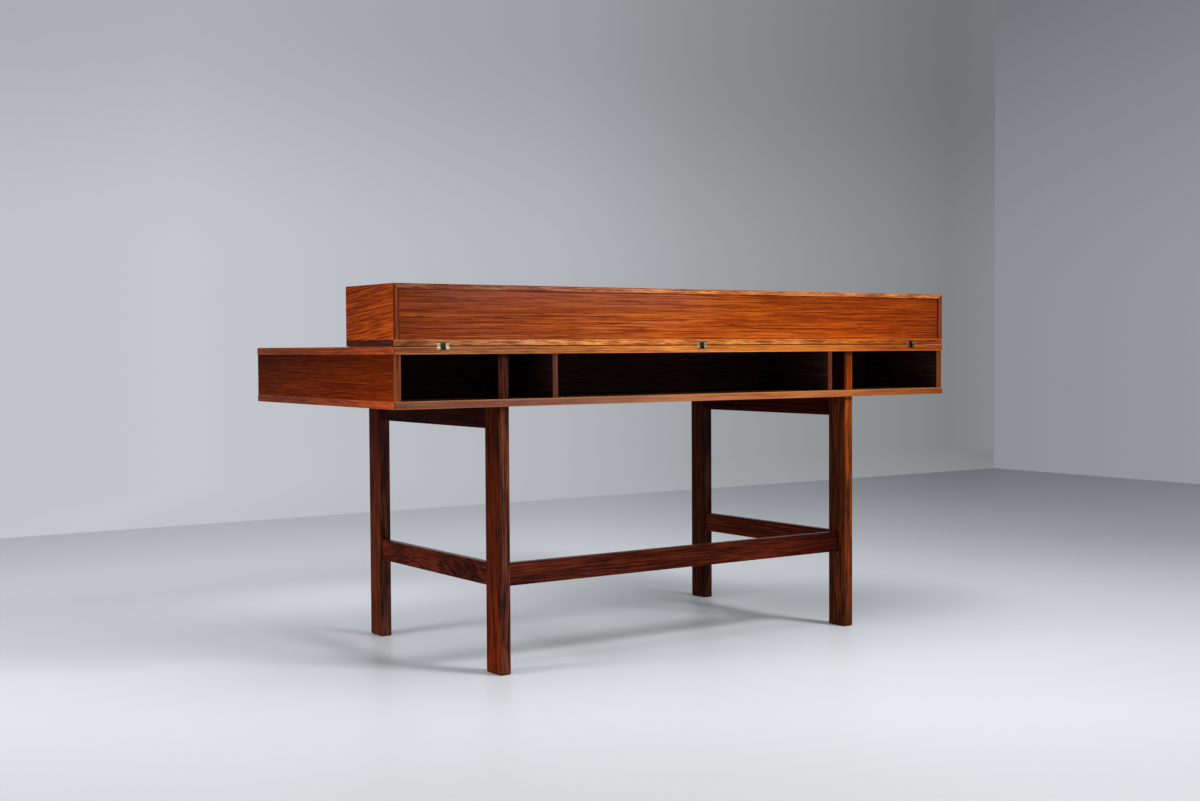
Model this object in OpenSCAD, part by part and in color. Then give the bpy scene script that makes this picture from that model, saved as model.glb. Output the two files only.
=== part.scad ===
// Partners desk in rosewood veneer and solid rosewood.
// The low case has open shelves on one long side and drawers on the other.
// A long box stands on the top along the shelf side. It turns over on three
// link hinges: its underside then widens the writing top, and its back
// closes the open shelves.
// The desk stands on the XY plane, with its centre over the origin.
// X runs along the desk, -Y is the shelf side and +Y is the drawer side.

/* [Overall] */
// Length of the writing top
desk_l = 1630; // [1480:1:1800]
// Depth of the writing top, from shelf side to drawer side
desk_d = 740; // [660:1:860]
// Height of the writing surface above the floor
desk_h = 725; // [690:1:780]

/* [Case] */
// Height of the case, over both of its panels
case_h = 132; // [116:1:170]
// Thickness of the top and bottom panels
panel_t = 16.5; // [14:0.5:20]
// Width of the solid lipping round those panels
lip_w = 10; // [7:0.5:12]
// Thickness of the end panels
end_t = 17; // [14:0.5:22]
// Thickness of the dividers and of the drawer partition
divider_t = 13; // [10:0.5:18]
// Outer length of each end bay, from the desk's end to its divider
end_bay_l = 395; // [350:1:450]
// Distance of the upright panels' edges from the long edges of the top
upright_inset = 3; // [1:0.5:6]
// Depth of the open shelves
shelf_d = 270; // [220:1:320]
// Thickness of the shelves' back panels
shelf_back_t = 6; // [5:0.5:9]
// Depth of the housings in the top and bottom panels
housing_d = 5; // [3:0.5:6]
// Depth of the grooves for the side edges of the shelves' back panels
shelf_groove_d = 4; // [2.5:0.5:4.5]
// Thickness of the tongues on the upright panels
tongue_t = 5; // [4:0.5:7]
// Distance of the tongues' ends from the upright panels' edges
tongue_set = 12; // [11:0.5:20]

/* [Base] */
// Thickness of a leg, along the desk
leg_t = 29; // [21:0.5:34]
// Width of a leg, across the desk
leg_w = 60; // [52:1:75]
// Distance of the leg frames' outer faces from the desk's ends, with the base centred
leg_end_set = 286; // [240:1:320]
// Sideways place of the base, from the middle of the case
base_shift = -27; // [-40:1:40]
// Distance of the shelf-side legs from the top's long edge
leg_inset_shelf = 14; // [13:0.5:24]
// Distance of the drawer-side legs from the top's long edge
leg_inset_drawer = 86; // [50:1:140]
// Thickness of the rails and stretchers
rail_t = 18; // [14:0.5:20]
// Height of the upper rails, under the case
upper_rail_h = 50; // [40:1:65]
// Height of the lower stretchers
stretcher_h = 51; // [40:1:65]
// Height of the stretchers' lower edge above the floor
stretcher_z = 193; // [120:1:300]
// Thickness of the tenons
tenon_t = 10; // [7:0.5:12]
// Shoulder above and below each tenon
tenon_shoulder = 8; // [5:0.5:12]
// Wood between the side tenons and the long stretcher's tenon, inside a leg
tenon_web = 3; // [1:0.5:6]
// Wood of the leg past the end of the long stretcher's tenon
tenon_wall = 7; // [3:0.5:10]
// Height of the stub on top of each leg
stub_h = 6; // [4:0.5:8]
// Rounding of the upright edges of the legs
leg_arris = 3.5; // [0.5:0.1:4]
// Rounding of the long edges of the rails and stretchers
rail_arris = 1.5; // [0.5:0.1:3]
// Chamfer round each foot
foot_chamfer = 3; // [0.5:0.1:4]

/* [Base screws] */
// Number of screws in each upper rail
rail_screw_n = 3; // [2:1:5]
// Distance of the outer screws from the rail's ends
rail_screw_inset = 70; // [40:1:120]
// Diameter of a screw's shank
rail_screw_d = 4; // [3:0.5:5]
// Diameter of a screw's head
rail_screw_head_d = 8; // [7:0.5:9]
// Height of a screw's head
rail_screw_head_h = 2.5; // [2:0.1:3.5]
// Diameter of the counterbore in the rail
counterbore_d = 10; // [9.5:0.5:12]
// Depth of the counterbore in the rail
counterbore_h = 28; // [18:1:34]
// Length of a screw's end in the bottom panel
rail_screw_bite = 11; // [8:0.5:12]

/* [Box] */
// Height of the box
box_h = 132; // [110:1:170]
// Depth of the box
box_d = 228; // [190:1:280]
// Distance of the box's back from the top's shelf-side edge
box_inset = 1; // [0:0.1:1.5]
// Gap between the box and the top
box_gap = 1; // [0.8:0.1:1.4]
// Thickness of the box's top panel
box_top_t = 11; // [10:0.5:18]
// Thickness of the box's bottom panel
box_bottom_t = 13.5; // [13:0.5:18]
// Thickness of the box's ends
box_end_t = 14; // [11:0.5:18]
// Thickness of the box's back panel
box_back_t = 8; // [6:0.5:10]
// Depth of the back panel's face in its frame
box_back_recess = 3; // [1:0.5:6]
// Depth of the grooves that hold the back panel and the box's dividers
box_groove_d = 3.5; // [2.5:0.5:4.5]
// Thickness of the box's dividers
box_divider_t = 9; // [7:0.5:14]
// Distance of the dividers' edges from the box's open face
box_divider_inset = 5; // [2:0.5:12]
// Rounding of the outer edges of the top and the box
edge_r = 1.5; // [1.3:0.1:2.2]
// Rounding of the inner edges of the lippings
soft_r = 0.6; // [0.3:0.1:1]

/* [Flap hinges] */
// Distance of the outer hinges' centres from the desk's ends
hinge_inset = 117; // [70:1:170]
// Length of a hinge along the joint
hinge_l = 30; // [26:1:38]
// Reach of each leaf from the edge
leaf_d = 40; // [34:1:50]
// Thickness of each leaf
leaf_t = 2; // [1.6:0.1:2.6]
// Depth of the ears, from the edge inwards
ear_d = 9; // [8:0.1:12]
// Height of the ears
ear_h = 7; // [6.6:0.1:8]
// Depth of the recesses that the ears stand in
ear_room_h = 8.5; // [8.1:0.1:8.8]
// Width of the slot between the ears
ear_slot_w = 13; // [11:0.5:16]
// Distance of the pins from the case's shelf-side face
pin_set = 3.5; // [3.3:0.1:3.7]
// Distance of the pins from the joint's flat faces
pin_drop = 4; // [3.8:0.1:4.2]
// Diameter of the pins
pin_d = 2.4; // [2:0.1:2.6]
// Rounding radius of the link's ends
link_r = 2.4; // [2.1:0.1:2.6]
// Free space on each side of a link
link_side_gap = 0.4; // [0.3:0.1:0.8]
// Free space behind a link's end, in its slot
link_end_gap = 0.8; // [0.6:0.1:1.4]
// Length of a pin
pin_l = 28; // [22:0.5:29]
// Diameter of a leaf screw's shank
leaf_screw_d = 3; // [2.5:0.1:3.6]
// Diameter of a leaf screw's head
leaf_screw_head_d = 6.4; // [5.6:0.1:7.2]
// Height of a leaf screw's countersunk head
leaf_screw_head_h = 1.7; // [1.3:0.1:1.9]
// Length of a leaf screw
leaf_screw_l = 10.5; // [8:0.1:11.5]
// Distance of the leaf screws from the leaf's inner edge
leaf_screw_inset = 12; // [9:0.5:16]
// Distance between a leaf's two screws
leaf_screw_spacing = 16; // [12:0.5:18]
// Width of the driver slot in a leaf screw's head
driver_slot_w = 0.8; // [0.5:0.1:1.1]
// Depth of the driver slot
driver_slot_h = 0.8; // [0.5:0.1:1.1]

/* [Drawers] */
// Gap round each drawer front
drawer_gap = 1.5; // [1:0.1:3]
// Running gap under the drawers
drawer_run_gap = 0.5; // [0.3:0.1:0.9]
// Space behind each drawer
drawer_rear_gap = 14; // [6:1:60]
// Thickness of the drawer fronts
drawer_front_t = 18; // [15:0.5:22]
// Thickness of the drawer sides
drawer_side_t = 9; // [7:0.5:12]
// Distance of the drawer sides' upper edge below the front's
drawer_side_drop = 4; // [2:0.5:15]
// Thickness of the drawer backs
drawer_back_t = 9; // [7:0.5:12]
// Thickness of the drawer bottoms
drawer_bottom_t = 5; // [4:0.5:7]
// Height of the drawer bottom above the sides' lower edge
drawer_bottom_rise = 8; // [7:0.5:12]
// Depth of the grooves and housings in a drawer
drawer_groove_d = 4; // [2.5:0.5:5]
// Number of dovetails at each front corner
tail_n = 3; // [2:1:4]
// Length of the dovetails
tail_l = 12; // [8:0.5:13]
// Width of a dovetail at its root
tail_root_w = 13; // [9:0.5:16]
// Flare of a dovetail on each side
tail_flare = 2; // [1:0.1:3]
// Width of the finger dip in a drawer front
pull_w = 96; // [70:1:130]
// Depth of the finger dip
pull_h = 20; // [14:0.5:26]
// Width of a drawer stop
stop_w = 26; // [18:1:40]
// Depth of a drawer stop
stop_d = 12; // [8:0.5:20]
// Height of a drawer stop
stop_h = 5; // [3:0.5:6]
// Free space between a drawer front and its stops
stop_gap = 0.3; // [0.3:0.1:0.8]

/* [Fits] */
// Glue clearance on each side of a tongue or tenon
glue_gap = 0.1; // [0.05:0.01:0.2]
// Free depth past the end of a tongue or tenon
end_gap = 0.5; // [0.3:0.1:1]
// Clearance round a screw in wood, on the radius
screw_gap = 0.05; // [0.03:0.01:0.1]
// Running clearance of a pin in its ears, on the radius
pin_run_gap = 0.06; // [0.03:0.01:0.09]
// Clearance of a pin in its link, on the radius
pin_link_gap = 0.02; // [0.01:0.01:0.05]

/* [Hidden] */
$fn = 48;

// Colours of the woods and the metal
wood = [0.42, 0.20, 0.11];
dark_wood = [0.30, 0.13, 0.08];
edge_wood = [0.78, 0.48, 0.26];
inner_wood = [0.72, 0.56, 0.38];
brass = [0.80, 0.66, 0.36];
steel = [0.70, 0.71, 0.72];

// A little extra length that takes a cut clear of a surface
past = 1;

// Case levels and faces
shelf_y = -desk_d / 2;
drawer_y = desk_d / 2;
case_z = desk_h - case_h;
bay_z0 = case_z + panel_t;
bay_z1 = desk_h - panel_t;
upright_y0 = shelf_y + upright_inset;
upright_y1 = drawer_y - upright_inset;
shelf_back_y = upright_y0 + shelf_d;
partition_y = shelf_back_y + shelf_back_t;
core_l = desk_l - 2 * lip_w;
core_d = desk_d - 2 * lip_w;
divider_x = desk_l / 2 - end_bay_l - divider_t / 2;
end_inner_x = desk_l / 2 - end_t;

// Bays between the uprights, each as its left and right face
bay_left = [-end_inner_x, -divider_x - divider_t / 2];
bay_centre = [-divider_x + divider_t / 2, divider_x - divider_t / 2];
bay_centre_left = [bay_centre[0], -divider_t / 2];
bay_centre_right = [divider_t / 2, bay_centre[1]];
bay_right = [divider_x + divider_t / 2, end_inner_x];

// Legs and rails
leg_spacing = desk_l - 2 * leg_end_set - leg_t;
leg_x_left = base_shift - leg_spacing / 2;
leg_x_right = base_shift + leg_spacing / 2;
leg_y_shelf = shelf_y + leg_inset_shelf + leg_w / 2;
leg_y_drawer = drawer_y - leg_inset_drawer - leg_w / 2;
side_tenon_l = leg_w / 2 - tenon_t / 2 - tenon_web;
long_tenon_l = leg_t - tenon_wall;
side_span = leg_y_drawer - leg_y_shelf - leg_w;
side_mid_y = (leg_y_shelf + leg_y_drawer) / 2;
long_span = leg_spacing - leg_t;
stub_w = leg_w - 2 * tenon_shoulder;
rail_screw_step = (side_span - 2 * rail_screw_inset) / (rail_screw_n - 1);

// Box
box_z = desk_h + box_gap;
box_y0 = shelf_y + box_inset;
box_y1 = box_y0 + box_d;
box_back_y = box_y0 + box_back_recess;
box_in_z0 = box_z + box_bottom_t;
box_in_z1 = box_z + box_h - box_top_t;
box_in_x = desk_l / 2 - box_end_t;
box_divider_step = 2 * box_in_x / 4;

// Hinges
hinge_x = desk_l / 2 - hinge_inset;
hinge_places = [-hinge_x, 0, hinge_x];
pin_y = shelf_y + pin_set;
pin_z_lower = desk_h - pin_drop;
pin_z_upper = box_z + pin_drop;
pin_set_box = pin_set - box_inset;
link_w = ear_slot_w - 2 * link_side_gap;
leaf_screw_y = leaf_d - leaf_screw_inset;

// Drawers
drawer_z0 = bay_z0 + drawer_run_gap;
front_z0 = bay_z0 + drawer_gap;
front_z1 = bay_z1 - drawer_gap;
drawer_back_y = partition_y + drawer_rear_gap;
front_back_y = upright_y1 - drawer_front_t;
side_z1 = front_z1 - drawer_side_drop;
drawer_floor_z = drawer_z0 + drawer_bottom_rise;
pull_r = (pow(pull_w / 2, 2) + pow(pull_h, 2)) / (2 * pull_h);
tail_zone_z0 = drawer_floor_z + drawer_bottom_t;
tail_pitch = (side_z1 - tail_zone_z0) / tail_n;

// Points of a rounded corner: centre, radius, first angle, four steps
function corner(c, r, a) = [for (i = [0:4]) c + r * [cos(a + i * 22.5), sin(a + i * 22.5)]];

// Rectangle centred on the origin, with one radius for its lower and one for its upper corners
function soft_rect(w, h, r_low, r_high) = concat(
    corner([w / 2 - r_low, -h / 2 + r_low], r_low, -90),
    corner([w / 2 - r_high, h / 2 - r_high], r_high, 0),
    corner([-w / 2 + r_high, h / 2 - r_high], r_high, 90),
    corner([-w / 2 + r_low, -h / 2 + r_low], r_low, 180)
);

// Box-shaped solid between two opposite corners
module block(low, high) {
    translate(low) cube(high - low);
}

// Profile in the YZ plane, drawn out along X about x
module along_x(l, x = 0) {
    translate([x - l / 2, 0, 0]) rotate([90, 0, 90]) linear_extrude(l) children();
}

// Profile in the XZ plane, drawn out along Y from y0 to y1
module along_y(y0, y1) {
    translate([0, y1, 0]) rotate([90, 0, 0]) linear_extrude(y1 - y0) children();
}

// Slab with all of its outer edges rounded
module soft_slab(y0, y1, z0, z1, r_low, r_high) {
    intersection() {
        along_x(desk_l)
            translate([(y0 + y1) / 2, (z0 + z1) / 2])
                polygon(soft_rect(y1 - y0, z1 - z0, r_low, r_high));
        along_y(y0, y1)
            translate([0, (z0 + z1) / 2])
                polygon(soft_rect(desk_l, z1 - z0, r_low, r_high));
    }
}

// Base

// Upright leg with a stub tenon at its head and a chamfered foot
module leg(x, y, top_z) {
    reach = past + foot_chamfer;
    translate([x, y, 0]) {
        difference() {
            linear_extrude(top_z) polygon(soft_rect(leg_t, leg_w, leg_arris, leg_arris));
            leg_mortises(x, y);
            for (s = [-1, 1]) {
                along_x(leg_t + 2 * past)
                    polygon([[s * (leg_w / 2 - reach), -past], [s * (leg_w / 2 + past), -past],
                             [s * (leg_w / 2 + past), reach]]);
                along_y(-leg_w / 2 - past, leg_w / 2 + past)
                    polygon([[s * (leg_t / 2 - reach), -past], [s * (leg_t / 2 + past), -past],
                             [s * (leg_t / 2 + past), reach]]);
            }
        }
        translate([-tenon_t / 2, -stub_w / 2, top_z]) cube([tenon_t, stub_w, stub_h]);
    }
}

// Mortises of one leg, each on the face that looks at its rail
module leg_mortises(x, y) {
    to_middle_y = y < side_mid_y ? 1 : -1;
    for (z = [[stretcher_z, stretcher_h], [case_z - upper_rail_h, upper_rail_h]])
        mortise(to_middle_y * 90, leg_w / 2, side_tenon_l, z[0], z[1]);
    if (y < side_mid_y)
        mortise(x < base_shift ? 0 : 180, leg_t / 2, long_tenon_l, stretcher_z, stretcher_h);
}

// Mortise in the face that lies at a given distance in direction turn
module mortise(turn, face, l, z, h) {
    rotate([0, 0, turn])
        block([face - l - end_gap, -tenon_t / 2 - glue_gap, z + tenon_shoulder - glue_gap],
              [face + past, tenon_t / 2 + glue_gap, z + h - tenon_shoulder + glue_gap]);
}

// Rail between two shoulders, with a tenon on each end, drawn along X about the origin
module rail(span, h, tenon_l) {
    along_x(span) translate([0, h / 2]) polygon(soft_rect(rail_t, h, rail_arris, rail_arris));
    block([-span / 2 - tenon_l, -tenon_t / 2, tenon_shoulder],
          [span / 2 + tenon_l, tenon_t / 2, h - tenon_shoulder]);
}

// Places of the screws along an upper rail
module at_rail_screws() {
    for (i = [0:rail_screw_n - 1])
        translate([-side_span / 2 + rail_screw_inset + i * rail_screw_step, 0, 0]) children();
}

module leg_shelf(x) {
    color(dark_wood) leg(x, leg_y_shelf, bay_z1);
}

module leg_drawer(x) {
    color(dark_wood) leg(x, leg_y_drawer, case_z);
}

module upper_rail(x) {
    color(dark_wood)
        translate([x, side_mid_y, case_z - upper_rail_h]) rotate([0, 0, 90])
            difference() {
                rail(side_span, upper_rail_h, side_tenon_l);
                at_rail_screws() {
                    translate([0, 0, -past]) cylinder(d = counterbore_d, h = counterbore_h + past);
                    cylinder(r = rail_screw_d / 2 + screw_gap, h = upper_rail_h + past);
                }
            }
}

module side_stretcher(x) {
    color(dark_wood)
        translate([x, side_mid_y, stretcher_z]) rotate([0, 0, 90])
            rail(side_span, stretcher_h, side_tenon_l);
}

module long_stretcher() {
    color(dark_wood)
        translate([base_shift, leg_y_shelf, stretcher_z])
            rail(long_span, stretcher_h, long_tenon_l);
}

module base_screws() {
    head_z = case_z - upper_rail_h + counterbore_h;
    color(steel)
        for (x = [leg_x_left, leg_x_right])
            translate([x, side_mid_y, head_z]) rotate([0, 0, 90])
                at_rail_screws() {
                    translate([0, 0, -rail_screw_head_h])
                        cylinder(d = rail_screw_head_d, h = rail_screw_head_h);
                    cylinder(d = rail_screw_d, h = upper_rail_h - counterbore_h + rail_screw_bite);
                }
}

// Case

// Housings for the tongues of every upright and shelf back, cut dir * housing_d into a face at z
module case_housings(z, dir) {
    depth = housing_d + end_gap;
    z0 = dir > 0 ? z - past : z - depth;
    z1 = dir > 0 ? z + depth : z + past;
    half = tongue_t / 2 + glue_gap;
    for (x = [-divider_x, divider_x])
        block([x - half, upright_y0 + tongue_set - glue_gap, z0],
              [x + half, upright_y1 - tongue_set + glue_gap, z1]);
    block([-half, partition_y + tongue_set - glue_gap, z0],
          [half, upright_y1 - tongue_set + glue_gap, z1]);
    for (s = [0, 1]) mirror([s, 0, 0]) {
        block([-end_inner_x - tongue_t - glue_gap, upright_y0 + tongue_set - glue_gap, z0],
              [-end_inner_x + glue_gap, upright_y1 - tongue_set + glue_gap, z1]);
        block([bay_left[0] - shelf_groove_d, shelf_back_y - glue_gap, z0],
              [bay_left[1] + shelf_groove_d, partition_y + glue_gap, z1]);
    }
    block([bay_centre[0] - shelf_groove_d, shelf_back_y - glue_gap, z0],
          [bay_centre[1] + shelf_groove_d, partition_y + glue_gap, z1]);
}

// Room for the three lower hinge leaves and their screws
module lower_hinge_room() {
    for (x = hinge_places)
        translate([x, shelf_y, desk_h]) leaf_room();
}

// Solid strips round a panel, mitred at its corners
module lipping_ring(z0, z1, r_low, r_high) {
    outer_x = desk_l / 2 + past;
    outer_y = desk_d / 2 + past;
    inner_x = core_l / 2;
    inner_y = core_d / 2;
    for (s = [0, 1]) {
        intersection() {
            soft_slab(shelf_y, drawer_y, z0, z1, r_low, r_high);
            mirror([0, s, 0]) translate([0, 0, z0 - past]) linear_extrude(z1 - z0 + 2 * past)
                polygon([[-outer_x, -outer_y], [outer_x, -outer_y],
                         [inner_x, -inner_y], [-inner_x, -inner_y]]);
        }
        intersection() {
            soft_slab(shelf_y, drawer_y, z0, z1, r_low, r_high);
            mirror([s, 0, 0]) translate([0, 0, z0 - past]) linear_extrude(z1 - z0 + 2 * past)
                polygon([[-outer_x, glue_gap - outer_y], [-outer_x, outer_y - glue_gap],
                         [-inner_x, inner_y - glue_gap], [-inner_x, glue_gap - inner_y]]);
        }
    }
}

module top_panel() {
    color(wood)
        difference() {
            block([-core_l / 2, -core_d / 2, bay_z1], [core_l / 2, core_d / 2, desk_h]);
            case_housings(bay_z1, 1);
            lower_hinge_room();
            for (x = [leg_x_left, leg_x_right])
                block([x - tenon_t / 2 - glue_gap, leg_y_shelf - stub_w / 2 - glue_gap, bay_z1 - past],
                      [x + tenon_t / 2 + glue_gap, leg_y_shelf + stub_w / 2 + glue_gap,
                       bay_z1 + stub_h + end_gap]);
        }
}

module top_lippings() {
    color(edge_wood)
        difference() {
            lipping_ring(bay_z1, desk_h, soft_r, edge_r);
            case_housings(bay_z1, 1);
            lower_hinge_room();
        }
}

module bottom_panel() {
    color(wood)
        difference() {
            block([-core_l / 2, -core_d / 2, case_z], [core_l / 2, core_d / 2, bay_z0]);
            case_housings(bay_z0, -1);
            for (x = [leg_x_left, leg_x_right]) {
                block([x - leg_t / 2 - glue_gap, leg_y_shelf - leg_w / 2 - glue_gap, case_z - past],
                      [x + leg_t / 2 + glue_gap, leg_y_shelf + leg_w / 2 + glue_gap, bay_z0 + past]);
                block([x - tenon_t / 2 - glue_gap, leg_y_drawer - stub_w / 2 - glue_gap, case_z - past],
                      [x + tenon_t / 2 + glue_gap, leg_y_drawer + stub_w / 2 + glue_gap,
                       case_z + stub_h + end_gap]);
                translate([x, side_mid_y, case_z - past]) rotate([0, 0, 90])
                    at_rail_screws()
                        cylinder(r = rail_screw_d / 2 + screw_gap,
                                 h = past + rail_screw_bite + end_gap);
            }
        }
}

module bottom_lippings() {
    color(edge_wood)
        difference() {
            lipping_ring(case_z, bay_z0, edge_r, soft_r);
            case_housings(bay_z0, -1);
        }
}

// Upright panel between the top and bottom panels, with a tongue on both edges
module upright(x0, x1, y0, y1, tongue_x) {
    block([x0, y0, bay_z0], [x1, y1, bay_z1]);
    block([tongue_x - tongue_t / 2, y0 + tongue_set, bay_z0 - housing_d],
          [tongue_x + tongue_t / 2, y1 - tongue_set, bay_z1 + housing_d]);
}

// Groove for the end of a shelf back, in the face at x that looks in direction side
module shelf_back_groove(x, side) {
    deep = x - side * (shelf_groove_d + end_gap);
    near = x + side * past;
    block([min(deep, near), shelf_back_y - glue_gap, bay_z0 - housing_d - past],
          [max(deep, near), partition_y + glue_gap, bay_z1 + housing_d + past]);
}

module end_panel(s) {
    color(wood)
        mirror([s, 0, 0])
            difference() {
                upright(-desk_l / 2, -end_inner_x, upright_y0, upright_y1, -end_inner_x - tongue_t / 2);
                shelf_back_groove(-end_inner_x, 1);
            }
}

module divider(s) {
    color(wood)
        mirror([s, 0, 0])
            difference() {
                upright(bay_left[1], bay_centre[0], upright_y0, upright_y1, -divider_x);
                shelf_back_groove(bay_left[1], -1);
                shelf_back_groove(bay_centre[0], 1);
            }
}

// Back of one shelf bay, housed on all four edges
module shelf_back(bay) {
    color(dark_wood)
        block([bay[0] - shelf_groove_d, shelf_back_y, bay_z0 - housing_d],
              [bay[1] + shelf_groove_d, partition_y, bay_z1 + housing_d]);
}

module drawer_partition() {
    color(wood) upright(-divider_t / 2, divider_t / 2, partition_y, upright_y1, 0);
}

// Two small blocks behind each drawer front, on the bottom panel
module drawer_stops() {
    color(inner_wood)
        for (bay = [bay_left, bay_centre_left, bay_centre_right, bay_right])
            for (part = [0.25, 0.75])
                translate([bay[0] + part * (bay[1] - bay[0]) - stop_w / 2,
                           front_back_y - stop_gap - stop_d, bay_z0])
                    cube([stop_w, stop_d, stop_h]);
}

// Box

// Outer form of the box, with rounded edges
module box_form() {
    soft_slab(box_y0, box_y1, box_z, box_z + box_h, edge_r, edge_r);
}

// Groove for the box's back panel, past every inner face
module box_back_groove() {
    depth = box_groove_d + glue_gap;
    block([-box_in_x - depth, box_back_y - glue_gap, box_in_z0 - depth],
          [box_in_x + depth, box_back_y + box_back_t + glue_gap, box_in_z1 + depth]);
}

// Grooves for the ends of the box's dividers
module box_divider_grooves() {
    depth = box_groove_d + glue_gap;
    for (i = [-1:1])
        block([i * box_divider_step - box_divider_t / 2 - glue_gap,
               box_back_y + box_back_t, box_in_z0 - depth],
              [i * box_divider_step + box_divider_t / 2 + glue_gap,
               box_y1 - box_divider_inset + glue_gap, box_in_z1 + depth]);
}

module box_top() {
    top_z = box_z + box_h;
    color(wood)
        difference() {
            intersection() {
                box_form();
                along_y(box_y0 - past, box_y1 + past)
                    polygon([[-desk_l / 2, top_z], [desk_l / 2, top_z],
                             [box_in_x, box_in_z1], [-box_in_x, box_in_z1]]);
            }
            box_back_groove();
            box_divider_grooves();
        }
}

module box_bottom() {
    color(wood)
        difference() {
            intersection() {
                box_form();
                block([-desk_l / 2 - past, box_y0 - past, box_z - past],
                      [desk_l / 2 + past, box_y1 + past, box_in_z0]);
            }
            box_back_groove();
            box_divider_grooves();
            for (x = hinge_places)
                translate([x, box_y0, box_z]) mirror([0, 0, 1]) leaf_room();
        }
}

module box_end(s) {
    top_z = box_z + box_h;
    color(wood)
        mirror([s, 0, 0])
            difference() {
                intersection() {
                    box_form();
                    along_y(box_y0 - past, box_y1 + past)
                        polygon([[-desk_l / 2, top_z], [-box_in_x, box_in_z1],
                                 [-box_in_x, box_in_z0], [-desk_l / 2, box_in_z0]]);
                }
                box_back_groove();
            }
}

module box_back() {
    color(wood)
        block([-box_in_x - box_groove_d, box_back_y, box_in_z0 - box_groove_d],
              [box_in_x + box_groove_d, box_back_y + box_back_t, box_in_z1 + box_groove_d]);
}

module box_divider(i) {
    color(dark_wood)
        block([i * box_divider_step - box_divider_t / 2, box_back_y + box_back_t,
               box_in_z0 - box_groove_d],
              [i * box_divider_step + box_divider_t / 2, box_y1 - box_divider_inset,
               box_in_z1 + box_groove_d]);
}

// Hinges
// A leaf is drawn for the case's top, with the edge of the top at the origin.
// The box's leaf is the same shape turned over.

// Side view of a leaf: flat plate, thick ears at the edge, rounded outer corner
function leaf_outline() = concat(
    corner([edge_r, -edge_r], edge_r, 90),
    [[0, -ear_h], [ear_d, -ear_h], [ear_d, -leaf_t], [leaf_d, -leaf_t], [leaf_d, 0]]
);

// Places of a leaf's screws
module at_leaf_screws() {
    for (s = [-1, 1])
        translate([s * leaf_screw_spacing / 2, leaf_screw_y, 0]) children();
}

module leaf(pin_from_edge) {
    difference() {
        along_x(hinge_l) polygon(leaf_outline());
        block([-ear_slot_w / 2, -past, -ear_h - past],
              [ear_slot_w / 2, pin_from_edge + link_r + link_end_gap, past]);
        translate([0, pin_from_edge, -pin_drop]) rotate([0, 90, 0])
            cylinder(r = pin_d / 2 + pin_run_gap, h = hinge_l + 2 * past, center = true);
        at_leaf_screws() {
            translate([0, 0, -leaf_screw_head_h])
                cylinder(r1 = leaf_screw_d / 2 + screw_gap, r2 = leaf_screw_head_d / 2 + screw_gap,
                         h = leaf_screw_head_h);
            translate([0, 0, -leaf_t - past]) cylinder(r = leaf_screw_d / 2 + screw_gap, h = leaf_t + past);
        }
    }
}

// Recess for a leaf and the holes for its screws
module leaf_room() {
    half = hinge_l / 2 + glue_gap;
    block([-half, -past, -ear_room_h], [half, ear_d + glue_gap, past]);
    block([-half, 0, -leaf_t], [half, leaf_d + glue_gap, past]);
    at_leaf_screws()
        translate([0, 0, -leaf_screw_l - end_gap])
            cylinder(r = leaf_screw_d / 2 + screw_gap, h = leaf_screw_l + end_gap);
}

module leaf_screws() {
    at_leaf_screws()
        difference() {
            union() {
                translate([0, 0, -leaf_screw_head_h])
                    cylinder(r1 = leaf_screw_d / 2, r2 = leaf_screw_head_d / 2, h = leaf_screw_head_h);
                translate([0, 0, -leaf_screw_l])
                    cylinder(r = leaf_screw_d / 2, h = leaf_screw_l - leaf_screw_head_h);
            }
            translate([0, 0, -driver_slot_h / 2 + past / 2])
                cube([leaf_screw_head_d + past, driver_slot_w, driver_slot_h + past], center = true);
        }
}

module hinge_lower_leaf(x) {
    color(brass) translate([x, shelf_y, desk_h]) leaf(pin_set);
}

module hinge_upper_leaf(x) {
    color(brass) translate([x, box_y0, box_z]) mirror([0, 0, 1]) leaf(pin_set_box);
}

// Bar between the lower and the upper pin
module hinge_link(x) {
    color(brass)
        translate([x, pin_y, 0])
            difference() {
                union() {
                    for (z = [pin_z_lower, pin_z_upper])
                        translate([0, 0, z]) rotate([0, 90, 0])
                            cylinder(r = link_r, h = link_w, center = true);
                    block([-link_w / 2, -link_r, pin_z_lower], [link_w / 2, link_r, pin_z_upper]);
                }
                for (z = [pin_z_lower, pin_z_upper])
                    translate([0, 0, z]) rotate([0, 90, 0])
                        cylinder(r = pin_d / 2 + pin_link_gap, h = link_w + 2 * past, center = true);
            }
}

module hinge_pins() {
    color(steel)
        for (x = hinge_places)
            for (z = [pin_z_lower, pin_z_upper])
                translate([x, pin_y, z]) rotate([0, 90, 0])
                    cylinder(d = pin_d, h = pin_l, center = true);
}

module hinge_screws_lower() {
    color(brass)
        for (x = hinge_places)
            translate([x, shelf_y, desk_h]) leaf_screws();
}

module hinge_screws_upper() {
    color(brass)
        for (x = hinge_places)
            translate([x, box_y0, box_z]) mirror([0, 0, 1]) leaf_screws();
}

// Drawers
// Each drawer part takes the bay that the drawer fills, as its left and right face.

// Dovetails of both drawer sides, wider by a clearance on every side
module tails(bay, clear) {
    root = tail_root_w / 2 + clear;
    tip = tail_root_w / 2 + tail_flare + clear;
    depth = tail_l + clear;
    for (i = [0:tail_n - 1])
        for (x = [bay[0] + drawer_gap, bay[1] - drawer_gap - drawer_side_t])
            translate([0, front_back_y, tail_zone_z0 + (i + 0.5) * tail_pitch])
                along_x(drawer_side_t + 2 * clear, x + drawer_side_t / 2)
                    polygon([[0, -root], [depth, -tip], [depth, tip], [0, root]]);
}

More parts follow.
